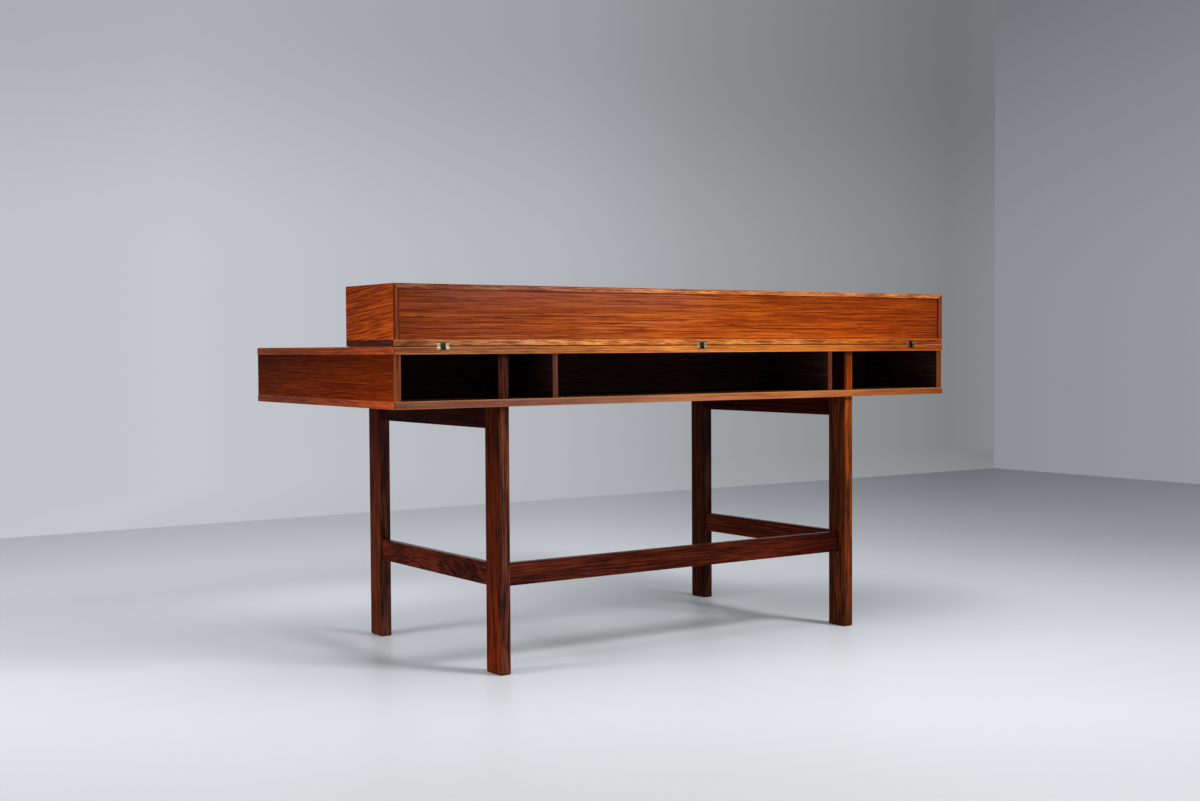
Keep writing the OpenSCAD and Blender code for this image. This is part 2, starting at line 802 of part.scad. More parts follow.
// Slot for the drawer bottom in the sides and the front
module drawer_bottom_slot(bay) {
    inset = drawer_gap + drawer_side_t - drawer_groove_d - glue_gap;
    block([bay[0] + inset, drawer_back_y - past, drawer_floor_z - glue_gap],
          [bay[1] - inset, front_back_y + drawer_groove_d + glue_gap,
           drawer_floor_z + drawer_bottom_t + glue_gap]);
}

module drawer_front(bay) {
    middle = (bay[0] + bay[1]) / 2;
    color(wood)
        difference() {
            block([bay[0] + drawer_gap, front_back_y, front_z0],
                  [bay[1] - drawer_gap, upright_y1, front_z1]);
            tails(bay, glue_gap);
            drawer_bottom_slot(bay);
            translate([middle, front_back_y - past, front_z1 - pull_h + pull_r]) rotate([-90, 0, 0])
                cylinder(r = pull_r, h = drawer_front_t + 2 * past, $fn = 96);
        }
}

module drawer_sides(bay) {
    color(inner_wood)
        difference() {
            union() {
                for (x = [bay[0] + drawer_gap, bay[1] - drawer_gap - drawer_side_t])
                    block([x, drawer_back_y, drawer_z0], [x + drawer_side_t, front_back_y, side_z1]);
                tails(bay, 0);
            }
            drawer_bottom_slot(bay);
            drawer_back_slot(bay);
        }
}

// Housing for the drawer back in both sides
module drawer_back_slot(bay) {
    inset = drawer_gap + drawer_side_t - drawer_groove_d - glue_gap;
    block([bay[0] + inset, drawer_back_y + drawer_back_t - glue_gap, tail_zone_z0],
          [bay[1] - inset, drawer_back_y + 2 * drawer_back_t + glue_gap, side_z1 + past]);
}

module drawer_back(bay) {
    inset = drawer_gap + drawer_side_t - drawer_groove_d;
    color(inner_wood)
        block([bay[0] + inset, drawer_back_y + drawer_back_t, tail_zone_z0],
              [bay[1] - inset, drawer_back_y + 2 * drawer_back_t, side_z1]);
}

module drawer_bottom(bay) {
    inset = drawer_gap + drawer_side_t - drawer_groove_d;
    color(inner_wood)
        block([bay[0] + inset, drawer_back_y + drawer_back_t, drawer_floor_z],
              [bay[1] - inset, front_back_y + drawer_groove_d, drawer_floor_z + drawer_bottom_t]);
}

leg_shelf(leg_x_left);  // leg_shelf_left
leg_shelf(leg_x_right);  // leg_shelf_right
leg_drawer(leg_x_left);  // leg_drawer_left
leg_drawer(leg_x_right);  // leg_drawer_right
upper_rail(leg_x_left);  // upper_rail_left
upper_rail(leg_x_right);  // upper_rail_right
side_stretcher(leg_x_left);  // side_stretcher_left
side_stretcher(leg_x_right);  // side_stretcher_right
long_stretcher();
base_screws();
top_panel();
top_lippings();
bottom_panel();
bottom_lippings();
end_panel(0);  // end_panel_left
end_panel(1);  // end_panel_right
divider(0);  // divider_left
divider(1);  // divider_right
shelf_back(bay_left);  // shelf_back_left
shelf_back(bay_centre);  // shelf_back_centre
shelf_back(bay_right);  // shelf_back_right
drawer_partition();
drawer_stops();
box_top();
box_bottom();
box_end(0);  // box_end_left
box_end(1);  // box_end_right
box_back();
box_divider(-1);  // box_divider_left
box_divider(0);  // box_divider_centre
box_divider(1);  // box_divider_right
hinge_lower_leaf(-hinge_x);  // hinge_left_lower_leaf
hinge_upper_leaf(-hinge_x);  // hinge_left_upper_leaf
hinge_link(-hinge_x);  // hinge_left_link
hinge_lower_leaf(0);  // hinge_centre_lower_leaf
hinge_upper_leaf(0);  // hinge_centre_upper_leaf
hinge_link(0);  // hinge_centre_link
hinge_lower_leaf(hinge_x);  // hinge_right_lower_leaf
hinge_upper_leaf(hinge_x);  // hinge_right_upper_leaf
hinge_link(hinge_x);  // hinge_right_link
hinge_pins();
hinge_screws_lower();
hinge_screws_upper();
drawer_front(bay_left);  // drawer_left_front
drawer_sides(bay_left);  // drawer_left_sides
drawer_back(bay_left);  // drawer_left_back
drawer_bottom(bay_left);  // drawer_left_bottom
drawer_front(bay_centre_left);  // drawer_centre_left_front
drawer_sides(bay_centre_left);  // drawer_centre_left_sides
drawer_back(bay_centre_left);  // drawer_centre_left_back
drawer_bottom(bay_centre_left);  // drawer_centre_left_bottom
drawer_front(bay_centre_right);  // drawer_centre_right_front
drawer_sides(bay_centre_right);  // drawer_centre_right_sides
drawer_back(bay_centre_right);  // drawer_centre_right_back
drawer_bottom(bay_centre_right);  // drawer_centre_right_bottom
drawer_front(bay_right);  // drawer_right_front
drawer_sides(bay_right);  // drawer_right_sides
drawer_back(bay_right);  // drawer_right_back
drawer_bottom(bay_right);  // drawer_right_bottom
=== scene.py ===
"""Dresses a partners desk: woods, felt, brass, floor, lamps and camera."""

import math

import bmesh
import bpy
from bpy.props import FloatProperty, FloatVectorProperty, PointerProperty
from mathutils import Matrix, Vector


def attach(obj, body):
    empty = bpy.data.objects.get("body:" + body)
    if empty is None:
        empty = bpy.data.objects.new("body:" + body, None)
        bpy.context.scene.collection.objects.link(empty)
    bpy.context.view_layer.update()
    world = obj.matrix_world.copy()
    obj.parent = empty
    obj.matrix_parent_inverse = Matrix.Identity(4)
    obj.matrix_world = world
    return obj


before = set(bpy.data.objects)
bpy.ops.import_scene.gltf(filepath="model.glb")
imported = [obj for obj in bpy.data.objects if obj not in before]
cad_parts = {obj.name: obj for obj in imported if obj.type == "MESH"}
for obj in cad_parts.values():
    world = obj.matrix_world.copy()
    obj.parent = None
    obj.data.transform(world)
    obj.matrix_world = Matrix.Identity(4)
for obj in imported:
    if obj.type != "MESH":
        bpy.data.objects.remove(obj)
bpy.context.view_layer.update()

bl_info = {
    "name": "Partners desk",
    "version": (1, 0, 0),
    "blender": (4, 5, 0),
    "location": "View3D > Sidebar > Desk",
    "description": "Finishes, floor, lamps and camera for a rosewood partners desk",
    "category": "Object",
}


def tone(red, green, blue):
    """Linear colour of an on-screen colour given from 0 to 255."""
    def linear(level):
        share = level / 255
        return share / 12.92 if share <= 0.04045 else ((share + 0.055) / 1.055) ** 2.4
    return (linear(red), linear(green), linear(blue))


def grey(share):
    return (share, share, share)


# Settings

def colour_property(name, description, *levels):
    return FloatVectorProperty(name=name, description=description, default=tone(*levels),
                               subtype="COLOR", size=3, min=0, max=1)


def vein_property(*levels):
    return colour_property("Vein", "Thin dark lines along the grain", *levels)


def gloss_property(description="Roughness of the oiled face", default=0.42):
    return FloatProperty(name="Roughness", description=description, default=default,
                         min=0.05, max=1)


def power_property(name, description, default):
    return FloatProperty(name=name, description=description, default=default,
                         min=0, max=1000, unit="POWER")


class CameraSettings(bpy.types.PropertyGroup):
    """Where the camera stands and how it looks at the desk."""
    place: FloatVectorProperty(
        name="Place", description="Where the camera stands",
        default=(-2.2884, -3.2761, 0.7188), subtype="TRANSLATION", unit="LENGTH")
    heading: FloatProperty(
        name="Heading", description="Turn of the view from +Y towards +X",
        default=math.radians(34.442), subtype="ANGLE")
    dip: FloatProperty(
        name="Dip", description="Tilt of the view below the horizon",
        default=math.radians(1.919), subtype="ANGLE")
    roll: FloatProperty(
        name="Roll", description="Clockwise roll of the camera",
        default=math.radians(0.324), subtype="ANGLE")
    lens: FloatProperty(
        name="Lens", description="Focal length for a sensor 36 mm wide",
        default=46.538, min=10, max=200, unit="CAMERA")


class StageSettings(bpy.types.PropertyGroup):
    """Floor, backdrop and lamps."""
    floor: colour_property("Floor", "Colour of the floor", 211, 214, 218)
    wall: colour_property("Backdrop", "Colour of the backdrop", 215, 218, 224)
    distance: colour_property("Distance", "Colour seen past the floor and the backdrop",
                              206, 209, 214)
    sky: colour_property("Surroundings", "Colour of the light from all round", 240, 242, 246)
    sky_strength: FloatProperty(
        name="Surroundings' strength", description="Strength of the light from all round",
        default=0.4, min=0, max=2)
    right_lamp: power_property("Right lamp", "Power of the lamp in front on the right", 150)
    left_lamp: power_property("Left lamp", "Power of the lamp on the left", 45)
    top_lamp: power_property("Top lamp", "Power of the lamp overhead", 60)


class VeneerSettings(bpy.types.PropertyGroup):
    """Rosewood veneer of the box's back, the top and the drawer fronts."""
    light: colour_property("Light", "Lightest streaks of the veneer", 200, 104, 40)
    middle: colour_property("Middle", "Main colour of the veneer", 158, 72, 24)
    dark: colour_property("Dark", "Darkest streaks of the veneer", 112, 44, 16)
    vein: vein_property(74, 24, 12)
    gloss: gloss_property()


class EndSettings(bpy.types.PropertyGroup):
    """Rosewood veneer of the outer ends."""
    light: colour_property("Light", "Lightest streaks of the ends", 192, 84, 22)
    middle: colour_property("Middle", "Main colour of the ends", 156, 60, 14)
    dark: colour_property("Dark", "Darkest streaks of the ends", 110, 36, 11)
    vein: vein_property(56, 16, 8)
    gloss: gloss_property()


class EdgeSettings(bpy.types.PropertyGroup):
    """Solid lippings and the fronts of the upright panels."""
    light: colour_property("Light", "Golden blotches of the lippings", 218, 142, 66)
    middle: colour_property("Middle", "Main colour of the lippings", 184, 102, 42)
    dark: colour_property("Dark", "Brown blotches of the lippings", 136, 66, 30)
    vein: vein_property(96, 42, 22)
    gloss: gloss_property()


class BaseSettings(bpy.types.PropertyGroup):
    """Dark solid rosewood of the legs, rails and stretchers."""
    light: colour_property("Light", "Lightest streaks of the base", 116, 44, 18)
    middle: colour_property("Middle", "Main colour of the base", 80, 29, 13)
    dark: colour_property("Dark", "Darkest streaks of the base", 46, 17, 9)
    vein: vein_property(24, 9, 6)
    gloss: gloss_property()


class ShadedInnerSettings(bpy.types.PropertyGroup):
    """Faces inside the shelves and compartments: a darker copy of the wood, as painted shade."""
    light: colour_property("Light", "Lightest streaks inside", 78, 50, 42)
    middle: colour_property("Middle", "Main colour inside", 55, 34, 28)
    dark: colour_property("Dark", "Darkest streaks inside", 36, 22, 18)
    vein: vein_property(10, 5, 4)
    gloss: gloss_property("Roughness of the inner faces", 0.6)


class DrawerSettings(bpy.types.PropertyGroup):
    """Pale waxed wood of the drawers' sides, backs and bottoms."""
    light: colour_property("Light", "Lightest streaks of the pale wood", 214, 176, 128)
    middle: colour_property("Middle", "Main colour of the pale wood", 190, 148, 102)
    dark: colour_property("Dark", "Darkest streaks of the pale wood", 158, 114, 74)
    vein: colour_property("Vein", "Thin lines along the grain", 126, 86, 54)
    gloss: gloss_property("Roughness of the waxed face", 0.5)


class MetalSettings(bpy.types.PropertyGroup):
    """Brass of the hinges and steel of the screws and pins."""
    brass: colour_property("Brass", "Colour of clean brass", 206, 178, 142)
    tarnish: colour_property("Tarnish", "Colour of worn and darkened brass", 104, 90, 62)
    link: colour_property("Links", "Colour of the blackened links", 50, 44, 34)
    link_worn: colour_property("Worn links", "Darkest parts of the links", 30, 27, 22)
    steel: colour_property("Steel", "Colour of the steel", 176, 176, 174)
    gloss: gloss_property("Roughness of the worn metal", 0.32)


SETTINGS = {
    "desk_camera": CameraSettings,
    "desk_stage": StageSettings,
    "desk_veneer": VeneerSettings,
    "desk_end": EndSettings,
    "desk_edge": EdgeSettings,
    "desk_base": BaseSettings,
    "desk_inner": ShadedInnerSettings,
    "desk_drawer": DrawerSettings,
    "desk_metal": MetalSettings,
}


# Shader maths

# Share of a line's reach in which it has its full strength
LINE_CORE = 0.6


class Shade:
    """A value, colour or vector in a material. Python's operators add its Math nodes."""

    def __init__(self, maker, socket):
        self.maker = maker
        self.socket = socket

    def __add__(self, other):
        return self.maker.math("ADD", self, other)

    def __radd__(self, other):
        return self.maker.math("ADD", other, self)

    def __sub__(self, other):
        return self.maker.math("SUBTRACT", self, other)

    def __rsub__(self, other):
        return self.maker.math("SUBTRACT", other, self)

    def __mul__(self, other):
        return self.maker.math("MULTIPLY", self, other)

    def __rmul__(self, other):
        return self.maker.math("MULTIPLY", other, self)

    def __abs__(self):
        return self.maker.math("ABSOLUTE", self)


class Maker:
    """Builds the nodes of one material, or of the world."""

    def __init__(self, name, world=False):
        self.owner = (bpy.data.worlds if world else bpy.data.materials).new(name)
        self.owner.use_nodes = True
        self.tree = self.owner.node_tree
        self.tree.nodes.clear()

    def node(self, kind, settings=None, inputs=None, output=0):
        """Adds a node: its settings are set first, then its sockets' values or links."""
        node = self.tree.nodes.new(kind)
        for key, value in (settings or {}).items():
            if key == "stops":
                self.set_stops(node.color_ramp, value)
            else:
                setattr(node, key, value)
        for key, value in (inputs or {}).items():
            if isinstance(value, Shade):
                self.tree.links.new(value.socket, node.inputs[key])
            else:
                node.inputs[key].default_value = value
        return Shade(self, node.outputs[output]) if node.outputs else node

    @staticmethod
    def set_stops(ramp, stops):
        while len(ramp.elements) < len(stops):
            ramp.elements.new(1)
        for element, (place, colour) in zip(ramp.elements, stops):
            element.position = place
            element.color = (*colour, 1)

    def math(self, operation, *values):
        return self.node("ShaderNodeMath", {"operation": operation}, dict(enumerate(values)))

    def vector_math(self, operation, *vectors, output=0):
        return self.node("ShaderNodeVectorMath", {"operation": operation},
                         dict(enumerate(vectors)), output)

    def mix(self, factor, first, second, blend="MIX"):
        """Blends two colours."""
        return self.node("ShaderNodeMix", {"data_type": "RGBA", "blend_type": blend},
                         {0: factor, 6: self.opaque(first), 7: self.opaque(second)}, output=2)

    def darken(self, factor, colour, by):
        """Multiplies a colour by another where the factor is 1."""
        return self.mix(factor, colour, by, "MULTIPLY")

    @staticmethod
    def opaque(colour):
        return colour if isinstance(colour, Shade) else (*colour[:3], 1)

    def place(self):
        """The point's place on the desk, which moves with its piece."""
        return self.node("ShaderNodeTexCoord", output="Object")

    def facing(self):
        """The direction that the surface faces, in the desk's own axes."""
        return self.node("ShaderNodeTexCoord", output="Normal")

    def split(self, vector):
        parts = self.tree.nodes.new("ShaderNodeSeparateXYZ")
        self.tree.links.new(vector.socket, parts.inputs[0])
        return [Shade(self, output) for output in parts.outputs]

    def join(self, x, y, z):
        return self.node("ShaderNodeCombineXYZ", inputs={0: x, 1: y, 2: z})

    def noise(self, vector, scale=1.0, detail=2.0, output=0):
        return self.node("ShaderNodeTexNoise",
                         inputs={"Vector": vector, "Scale": scale, "Detail": detail},
                         output=output)

    def step(self, value, low, high, smooth=True):
        """0 below low and 1 above high."""
        kind = "SMOOTHSTEP" if smooth else "LINEAR"
        return self.node("ShaderNodeMapRange", {"interpolation_type": kind},
                         {0: value, 1: low, 2: high, 3: 0.0, 4: 1.0})

    def near(self, value, place, reach):
        """1 where a value is within reach of a place."""
        return 1 - self.step(abs(value - place), reach * LINE_CORE, reach)

    def most(self, first, *others):
        """The highest of several values."""
        for other in others:
            first = self.math("MAXIMUM", first, other)
        return first

    def lines(self, value, places):
        """1 on thin lines, each given as its place and its reach."""
        return self.most(*[self.near(value, *line) for line in places])

    def shift(self, colour, value, low, high, tint):
        """Multiplies a colour by a tint that comes in evenly between two places."""
        return self.darken(self.step(value, low, high, smooth=False), colour, tint)

    def ramp(self, value, stops):
        return self.node("ShaderNodeValToRGB", {"stops": stops}, {0: value})

    def seen(self):
        """1 for what the camera sees, straight or in a reflection, and 0 for light."""
        return self.most(*[self.node("ShaderNodeLightPath", output=f"Is {kind} Ray")
                           for kind in ("Camera", "Glossy", "Transmission")])

    def surface(self, colour, roughness, height, relief, **more):
        """The one shader of the material, and its output. The relief is in metres."""
        bump = self.node("ShaderNodeBump", inputs={
            "Strength": 1.0, "Distance": relief, "Height": height})
        shader = self.node("ShaderNodeBsdfPrincipled", inputs={
            "Base Color": colour, "Roughness": roughness, **more, "Normal": bump})
        self.node("ShaderNodeOutputMaterial", inputs={"Surface": shader})
        return self.owner


# Woods

# Scales of the figure's noises along and across the grain, for a metre
BEND_SCALES = (2.2, 9.0)
CLOUD_SCALES = (4.0, 16.0)
BAND_SCALES = (4.5, 300.0)
THREAD_SCALES = (14.0, 480.0)
LINE_SCALES = (1.4, 60.0)
DASH_SCALES = (26.0, 560.0)
PORE_SCALES = (110.0, 2000.0)
FLECK_SCALES = (36.0, 520.0)
RUDDY_SCALES = (7.0, 60.0)
# Levels of the noise between which a mark comes in, and its strength
LINE_LEVELS = (0.0, 0.014)
DASH_LEVELS, DASH_STRENGTH = (0.62, 0.74), 0.45
PALE_LEVELS, PALE_STRENGTH = (0.26, 0.40), 0.35
PORE_LEVELS, PORE_STRENGTH = (0.6, 0.74), 0.3
FLECK_LEVELS, FLECK_STRENGTH = (0.62, 0.78), 0.35
RUDDY_LEVELS = (0.52, 0.68)
# Middle level of a noise
MIDDLE = 0.5
# Places of the dark, the main and the light colour on the scale of shades
SHADE_STOPS = (0.22, 0.5, 0.78)
# Shares of the threads, bands and pores in the relief, and the relief's depth in metres
THREAD_RELIEF, BAND_RELIEF, PORE_RELIEF, WOOD_RELIEF = 0.4, 0.2, 0.6, 0.00012
# Relief at which the roughness is as set, and its change for a relief of one
GLOSS_HEIGHT, GLOSS_SWING = 0.3, 0.1
# Warm tint of the waxed wood's reflections
WAX = tone(255, 190, 140)
# How much a face points a way where it begins to count, and where it fully does
FACING, ARRIS_FACING = (0.5, 0.7), (0.6, 0.85)
# Painted light and shade along the desk, with a painted sheen where the blue is raised: its reach
# in metres, then places along X and tints there
PAINTED_LIGHT_REACH = 0.82
VENEER_PAINTED_LIGHT = ((-0.81, (0.50, 0.47, 0.78)), (-0.60, (0.64, 0.61, 0.98)),
                (-0.40, (0.74, 0.70, 0.80)), (-0.20, (0.87, 0.87, 0.88)),
                (0.0, (0.90, 0.80, 0.60)), (0.20, (0.79, 0.65, 0.31)),
                (0.50, (0.70, 0.49, 0.18)), (0.81, (0.49, 0.34, 0.16)))
EDGE_PAINTED_LIGHT = ((-0.81, (0.53, 0.57, 1.04)), (-0.50, (0.60, 0.65, 1.15)),
              (-0.20, (1.10, 1.16, 1.4)), (0.12, (1.12, 1.15, 0.86)),
              (0.25, (0.85, 0.67, 0.46)), (0.50, (0.74, 0.50, 0.27)),
              (0.81, (0.42, 0.20, 0.10)))
BOX_TOP_PAINTED_LIGHT = ((-0.81, (0.41, 0.40, 1.0)), (-0.50, (0.48, 0.50, 1.4)),
                 (-0.25, (0.70, 0.74, 1.7)), (0.0, (1.15, 1.2, 1.8)),
                 (0.25, (0.76, 0.62, 0.95)), (0.50, (1.0, 1.05, 1.4)),
                 (0.81, (0.72, 0.62, 0.8)))
BOX_BOTTOM_PAINTED_LIGHT = ((-0.81, (0.46, 0.44, 0.88)), (-0.50, (0.94, 1.2, 2.6)),
                    (-0.25, (1.08, 1.2, 1.4)), (0.10, (1.0, 1.05, 0.85)),
                    (0.25, (0.95, 0.84, 0.76)), (0.50, (0.72, 0.54, 0.22)),
                    (0.76, (0.35, 0.16, 0.11)))
BLUSH_PAINTED_LIGHT = ((-0.81, (0.37, 0.37, 0.64)), (-0.50, (0.44, 0.52, 0.97)),
               (-0.25, (0.48, 0.55, 0.93)), (0.05, (0.82, 0.78, 0.88)),
               (0.50, (0.69, 0.60, 0.49)), (0.81, (0.38, 0.26, 0.20)))
UPRIGHT_PAINTED_SHADE = ((-0.81, (0.34, 0.28, 0.58)), (-0.41, (0.22, 0.25, 0.85)),
                 (0.41, (0.21, 0.16, 0.40)), (0.81, (0.23, 0.20, 0.38)))
STRETCHER_PAINTED_LIGHT = ((-0.50, (0.78, 0.98, 1.7)), (-0.10, (0.78, 0.85, 1.2)),
                   (0.15, (0.80, 0.85, 1.0)), (0.40, (0.40, 0.32, 0.60)))
HINGE_PAINTED_SHADE = ((-0.70, (1, 1, 1)), (0.0, (0.7, 0.7, 0.7)), (0.70, (0.4, 0.38, 0.34)))


def paint_light_along_desk(maker, colour, stops):
    """Multiplies a colour by painted light and shade that change along the desk."""
    across = maker.split(maker.place())[0]
    places = [((place + PAINTED_LIGHT_REACH) / (2 * PAINTED_LIGHT_REACH), tint) for place, tint in stops]
    along = maker.step(across, -PAINTED_LIGHT_REACH, PAINTED_LIGHT_REACH, smooth=False)
    return maker.darken(1.0, colour, maker.ramp(along, places))


def stretched(maker, point, grain, along, across):
    """The point scaled for a noise that runs with the grain."""
    return maker.vector_math("MULTIPLY", point,
                             [along if axis == grain else across for axis in "XYZ"])


def grain_noise(maker, point, grain, scales, detail, short=1.0, tight=1.0, output=0):
    """A noise that runs with the grain."""
    along, across = scales
    point = stretched(maker, point, grain, along * short, across * tight)
    return maker.noise(point, detail=detail, output=output)


def wavy(maker, point, grain, sway):
    """The point pushed sideways a little, so that the grain isn't ruled straight."""
    push = grain_noise(maker, point, grain, BEND_SCALES, 1.5, output="Color")
    push = maker.vector_math("SUBTRACT", push, grey(MIDDLE))
    push = maker.vector_math("MULTIPLY", push, [0 if axis == grain else sway for axis in "XYZ"])
    return maker.vector_math("ADD", point, push)


def grain_colour(maker, point, grain, look, sway=0.006, broad=0.5, streak=0.9, fine=0.9,
                 veins=0.25, tight=1.0, short=1.0):
    """Colour of a wood and its relief, for one grain direction.

    Sway bends the grain, in metres. Broad, streak, fine and veins are the strengths of clouds,
    bands, threads and dark lines. Tight draws these closer together, and short shortens them."""
    bent = wavy(maker, point, grain, sway)
    cloud = grain_noise(maker, bent, grain, CLOUD_SCALES, 1, short, tight)
    bands = grain_noise(maker, bent, grain, BAND_SCALES, 1.5, short, tight)
    threads = grain_noise(maker, bent, grain, THREAD_SCALES, 1, short)
    shade = ((cloud - MIDDLE) * broad + (bands - MIDDLE) * streak + (threads - MIDDLE) * fine
             + MIDDLE)
    colour = maker.ramp(shade, list(zip(SHADE_STOPS, (look.dark, look.middle, look.light))))
    lines = grain_noise(maker, bent, grain, LINE_SCALES, 1.5, short, tight)
    line = 1 - maker.step(abs(lines - MIDDLE), *LINE_LEVELS)
    dashes = grain_noise(maker, point, grain, DASH_SCALES, 0)
    pores = grain_noise(maker, point, grain, PORE_SCALES, 1)
    dark = maker.most(line * veins, maker.step(dashes, *DASH_LEVELS) * DASH_STRENGTH)
    colour = maker.mix(dark, colour, look.vein)
    pale = 1 - maker.step(dashes, *PALE_LEVELS)
    colour = maker.mix(pale * PALE_STRENGTH, colour, look.light)
    pore = maker.step(pores, *PORE_LEVELS)
    colour = maker.mix(pore * PORE_STRENGTH, colour, look.vein)
    return colour, threads * THREAD_RELIEF + bands * BAND_RELIEF - pore * PORE_RELIEF


def finish_wood(maker, colour, height, look, shine=0.04, **more):
    roughness = look.gloss + (height - GLOSS_HEIGHT) * GLOSS_SWING
    return maker.surface(colour, roughness, height, WOOD_RELIEF,
                         **{"Specular IOR Level": shine, "Specular Tint": (*WAX, 1), **more})


def plain_wood(name, grain, look, shine=0.04, **figure):
    """One wood with its grain along one axis, on every face of a piece."""
    maker = Maker(name)
    colour, height = grain_colour(maker, maker.place(), grain, look, **figure)
    return finish_wood(maker, colour, height, look, shine)


def give(names, material):
    """Puts a material on CAD nodes."""
    for name in names:
        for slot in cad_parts[name].material_slots:
            slot.material = material


def nodes_named(*starts, ending=""):
    return [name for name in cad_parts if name.startswith(starts) and name.endswith(ending)]


# Legs, rails and stretchers

# Painted light and shade of the base, as tints: low and high on a leg's broad sides, on its
# narrow sides, and in the case
LEG_LIGHT_AND_SHADE = {
    "leg_shelf_left": (((1.3, 1.1, 0.66), (0.85, 0.75, 0.62)),
                       ((0.95, 1.6, 3.1), (1.0, 1.85, 3.1)), (0.55, 0.55, 0.6)),
    "leg_drawer_left": (((1.3, 1.55, 1.6), (0.84, 0.88, 1.12)),
                        ((1.15, 2.3, 4.5), (0.90, 1.7, 3.6)), (1, 1, 1)),
    "leg_shelf_right": (((1.05, 1.6, 1.7), (0.9, 1.35, 1.5)),
                        ((0.90, 1.35, 1.7), (1.75, 2.15, 1.2)), (1.2, 1.0, 0.8)),
    "leg_drawer_right": (((0.6, 0.92, 1.4), (0.62, 0.92, 1.3)),
                         ((0.5, 1.02, 2.2), (0.51, 1.2, 2.7)), (1, 1, 1)),
}
# Heights in metres between which the low painted tint turns into the high one, and the case
# begins
TINT_HEIGHTS, CASE_HEIGHTS = (0.05, 0.50), (0.606, 0.611)
# Further shade on a leg's broad sides inside the case
CASE_SHADE = (0.3, 0.2, 0.2)
# As FACING, for a leg's broad sides, for all flat sides and for upper faces
BROAD_FACING, FLAT_FACING, UPPER_FACING = (0.6, 0.8), (0.75, 0.97), (0.7, 0.9)
# Strengths of the dark arrises and of the wax
ARRIS_STRENGTH, WAX_STRENGTH = 0.6, 0.6


def even_tints(tint):
    """The same tint on all sides of a piece of the base."""
    return ((tint, tint), (tint, tint), (1, 1, 1))


# Painted shade of the upper rails under the case
RAIL_PAINTED_SHADE = even_tints((0.36, 0.32, 0.46))
SIDE_TINTS = even_tints((1.0, 1.1, 1.3))
BURR_TINTS = even_tints((0.80, 0.80, 1.1))


def base_wood(name, grain, look, tints=None, stops=None, wax=0.0, **figure):
    """Solid rosewood with pale flecks, darker arrises, and wax on its upper faces; its tints and
    stops add painted light and shade.
    """
    maker = Maker(name)
    point = maker.place()
    colour, height = grain_colour(maker, point, grain, look, **{
        "broad": 0.7, "streak": 1.7, "fine": 1.0, "veins": 0.6, "tight": 0.6, **figure})
    flecks = grain_noise(maker, point, grain, FLECK_SCALES, 1)
    colour = maker.mix(maker.step(flecks, *FLECK_LEVELS) * FLECK_STRENGTH, colour, look.light)
    up = maker.split(point)[2]
    faces = maker.split(maker.facing())
    sides = [abs(side) for side in faces]
    broadside = maker.step(sides[0], *BROAD_FACING)
    # Painted light and shade: the tints differ between broad and narrow sides, with height, and
    # inside the case
    if tints:
        broad, narrow, inside = tints
        rise = maker.step(up, *TINT_HEIGHTS, smooth=False)
        tint = maker.mix(broadside, maker.mix(rise, *narrow), maker.mix(rise, *broad))
        colour = maker.darken(1.0, colour, tint)
    # Painted light and shade along the desk
    if stops:
        colour = paint_light_along_desk(maker, colour, stops)
    arris = 1 - maker.step(maker.most(*sides), *FLAT_FACING)
    colour = maker.mix(arris * ARRIS_STRENGTH, colour, look.vein)
    if tints:
        # Painted light and shade on the part of a leg inside the case
        hidden = maker.step(up, *CASE_HEIGHTS)
        colour = maker.darken(hidden, colour, inside)
        colour = maker.darken(hidden * broadside, colour, CASE_SHADE)
    polish = {"Coat Weight": maker.step(faces[2], *UPPER_FACING) * wax,
              "Coat Roughness": 0.25} if wax else {}
    return finish_wood(maker, colour, height, look, shine=0.01, **polish)


class DressLegs(bpy.types.Operator):
    """Dark rosewood on the legs, with darker arrises and painted light and shade on their faces.
    """
    bl_idname = "desk.dress_legs"
    bl_label = "Dress the legs"

    def execute(self, context):
        look = context.scene.desk_base
        for name, tints in LEG_LIGHT_AND_SHADE.items():
            give([name], base_wood(name + "_rosewood", "Z", look, tints, sway=0.05))
        return {"FINISHED"}


class DressRails(bpy.types.Operator):
    """Dark rosewood on the rails and stretchers, with painted shade on the upper rails and
    painted light and shade along the long stretcher.
    """
    bl_idname = "desk.dress_rails"
    bl_label = "Dress the rails"

    def execute(self, context):
        look = context.scene.desk_base
        give(nodes_named("upper_rail"), base_wood("upper_rail_rosewood", "Y", look, RAIL_PAINTED_SHADE))
        give(["side_stretcher_right"],
             base_wood("side_rail_rosewood", "Y", look, SIDE_TINTS, wax=WAX_STRENGTH,
                       streak=1.4, tight=1.0))
        give(["side_stretcher_left"],
             base_wood("burr_rosewood", "Y", look, BURR_TINTS, wax=WAX_STRENGTH,
                       sway=0.14, broad=1.5, streak=1.8, short=2.5))
        # Painted light and shade along the long stretcher
        give(["long_stretcher"],
             base_wood("stretcher_rosewood", "X", look, stops=STRETCHER_PAINTED_LIGHT, wax=WAX_STRENGTH,
                       sway=0.004, streak=1.1, fine=1.3, tight=1.4))
        return {"FINISHED"}


# Case

# Places in metres between which one finish gives way to the next
TOP_FACE = (0.7245, 0.7249)
END_FACE = (0.8140, 0.8145)
FRONT_FACE = (0.3660, 0.3665)
# Tints of the ends' veneer: all over, then painted shade towards the top, and painted shade that
# turns greyer towards the rear, between two places
END_TINT = (0.72, 0.62, 0.50)
END_TOP_SHADE = (0.60, 0.73, (0.24, 0.24, 0.42))
END_REAR_SHADE = (-0.4, 0.3, (0.44, 0.55, 1.6))
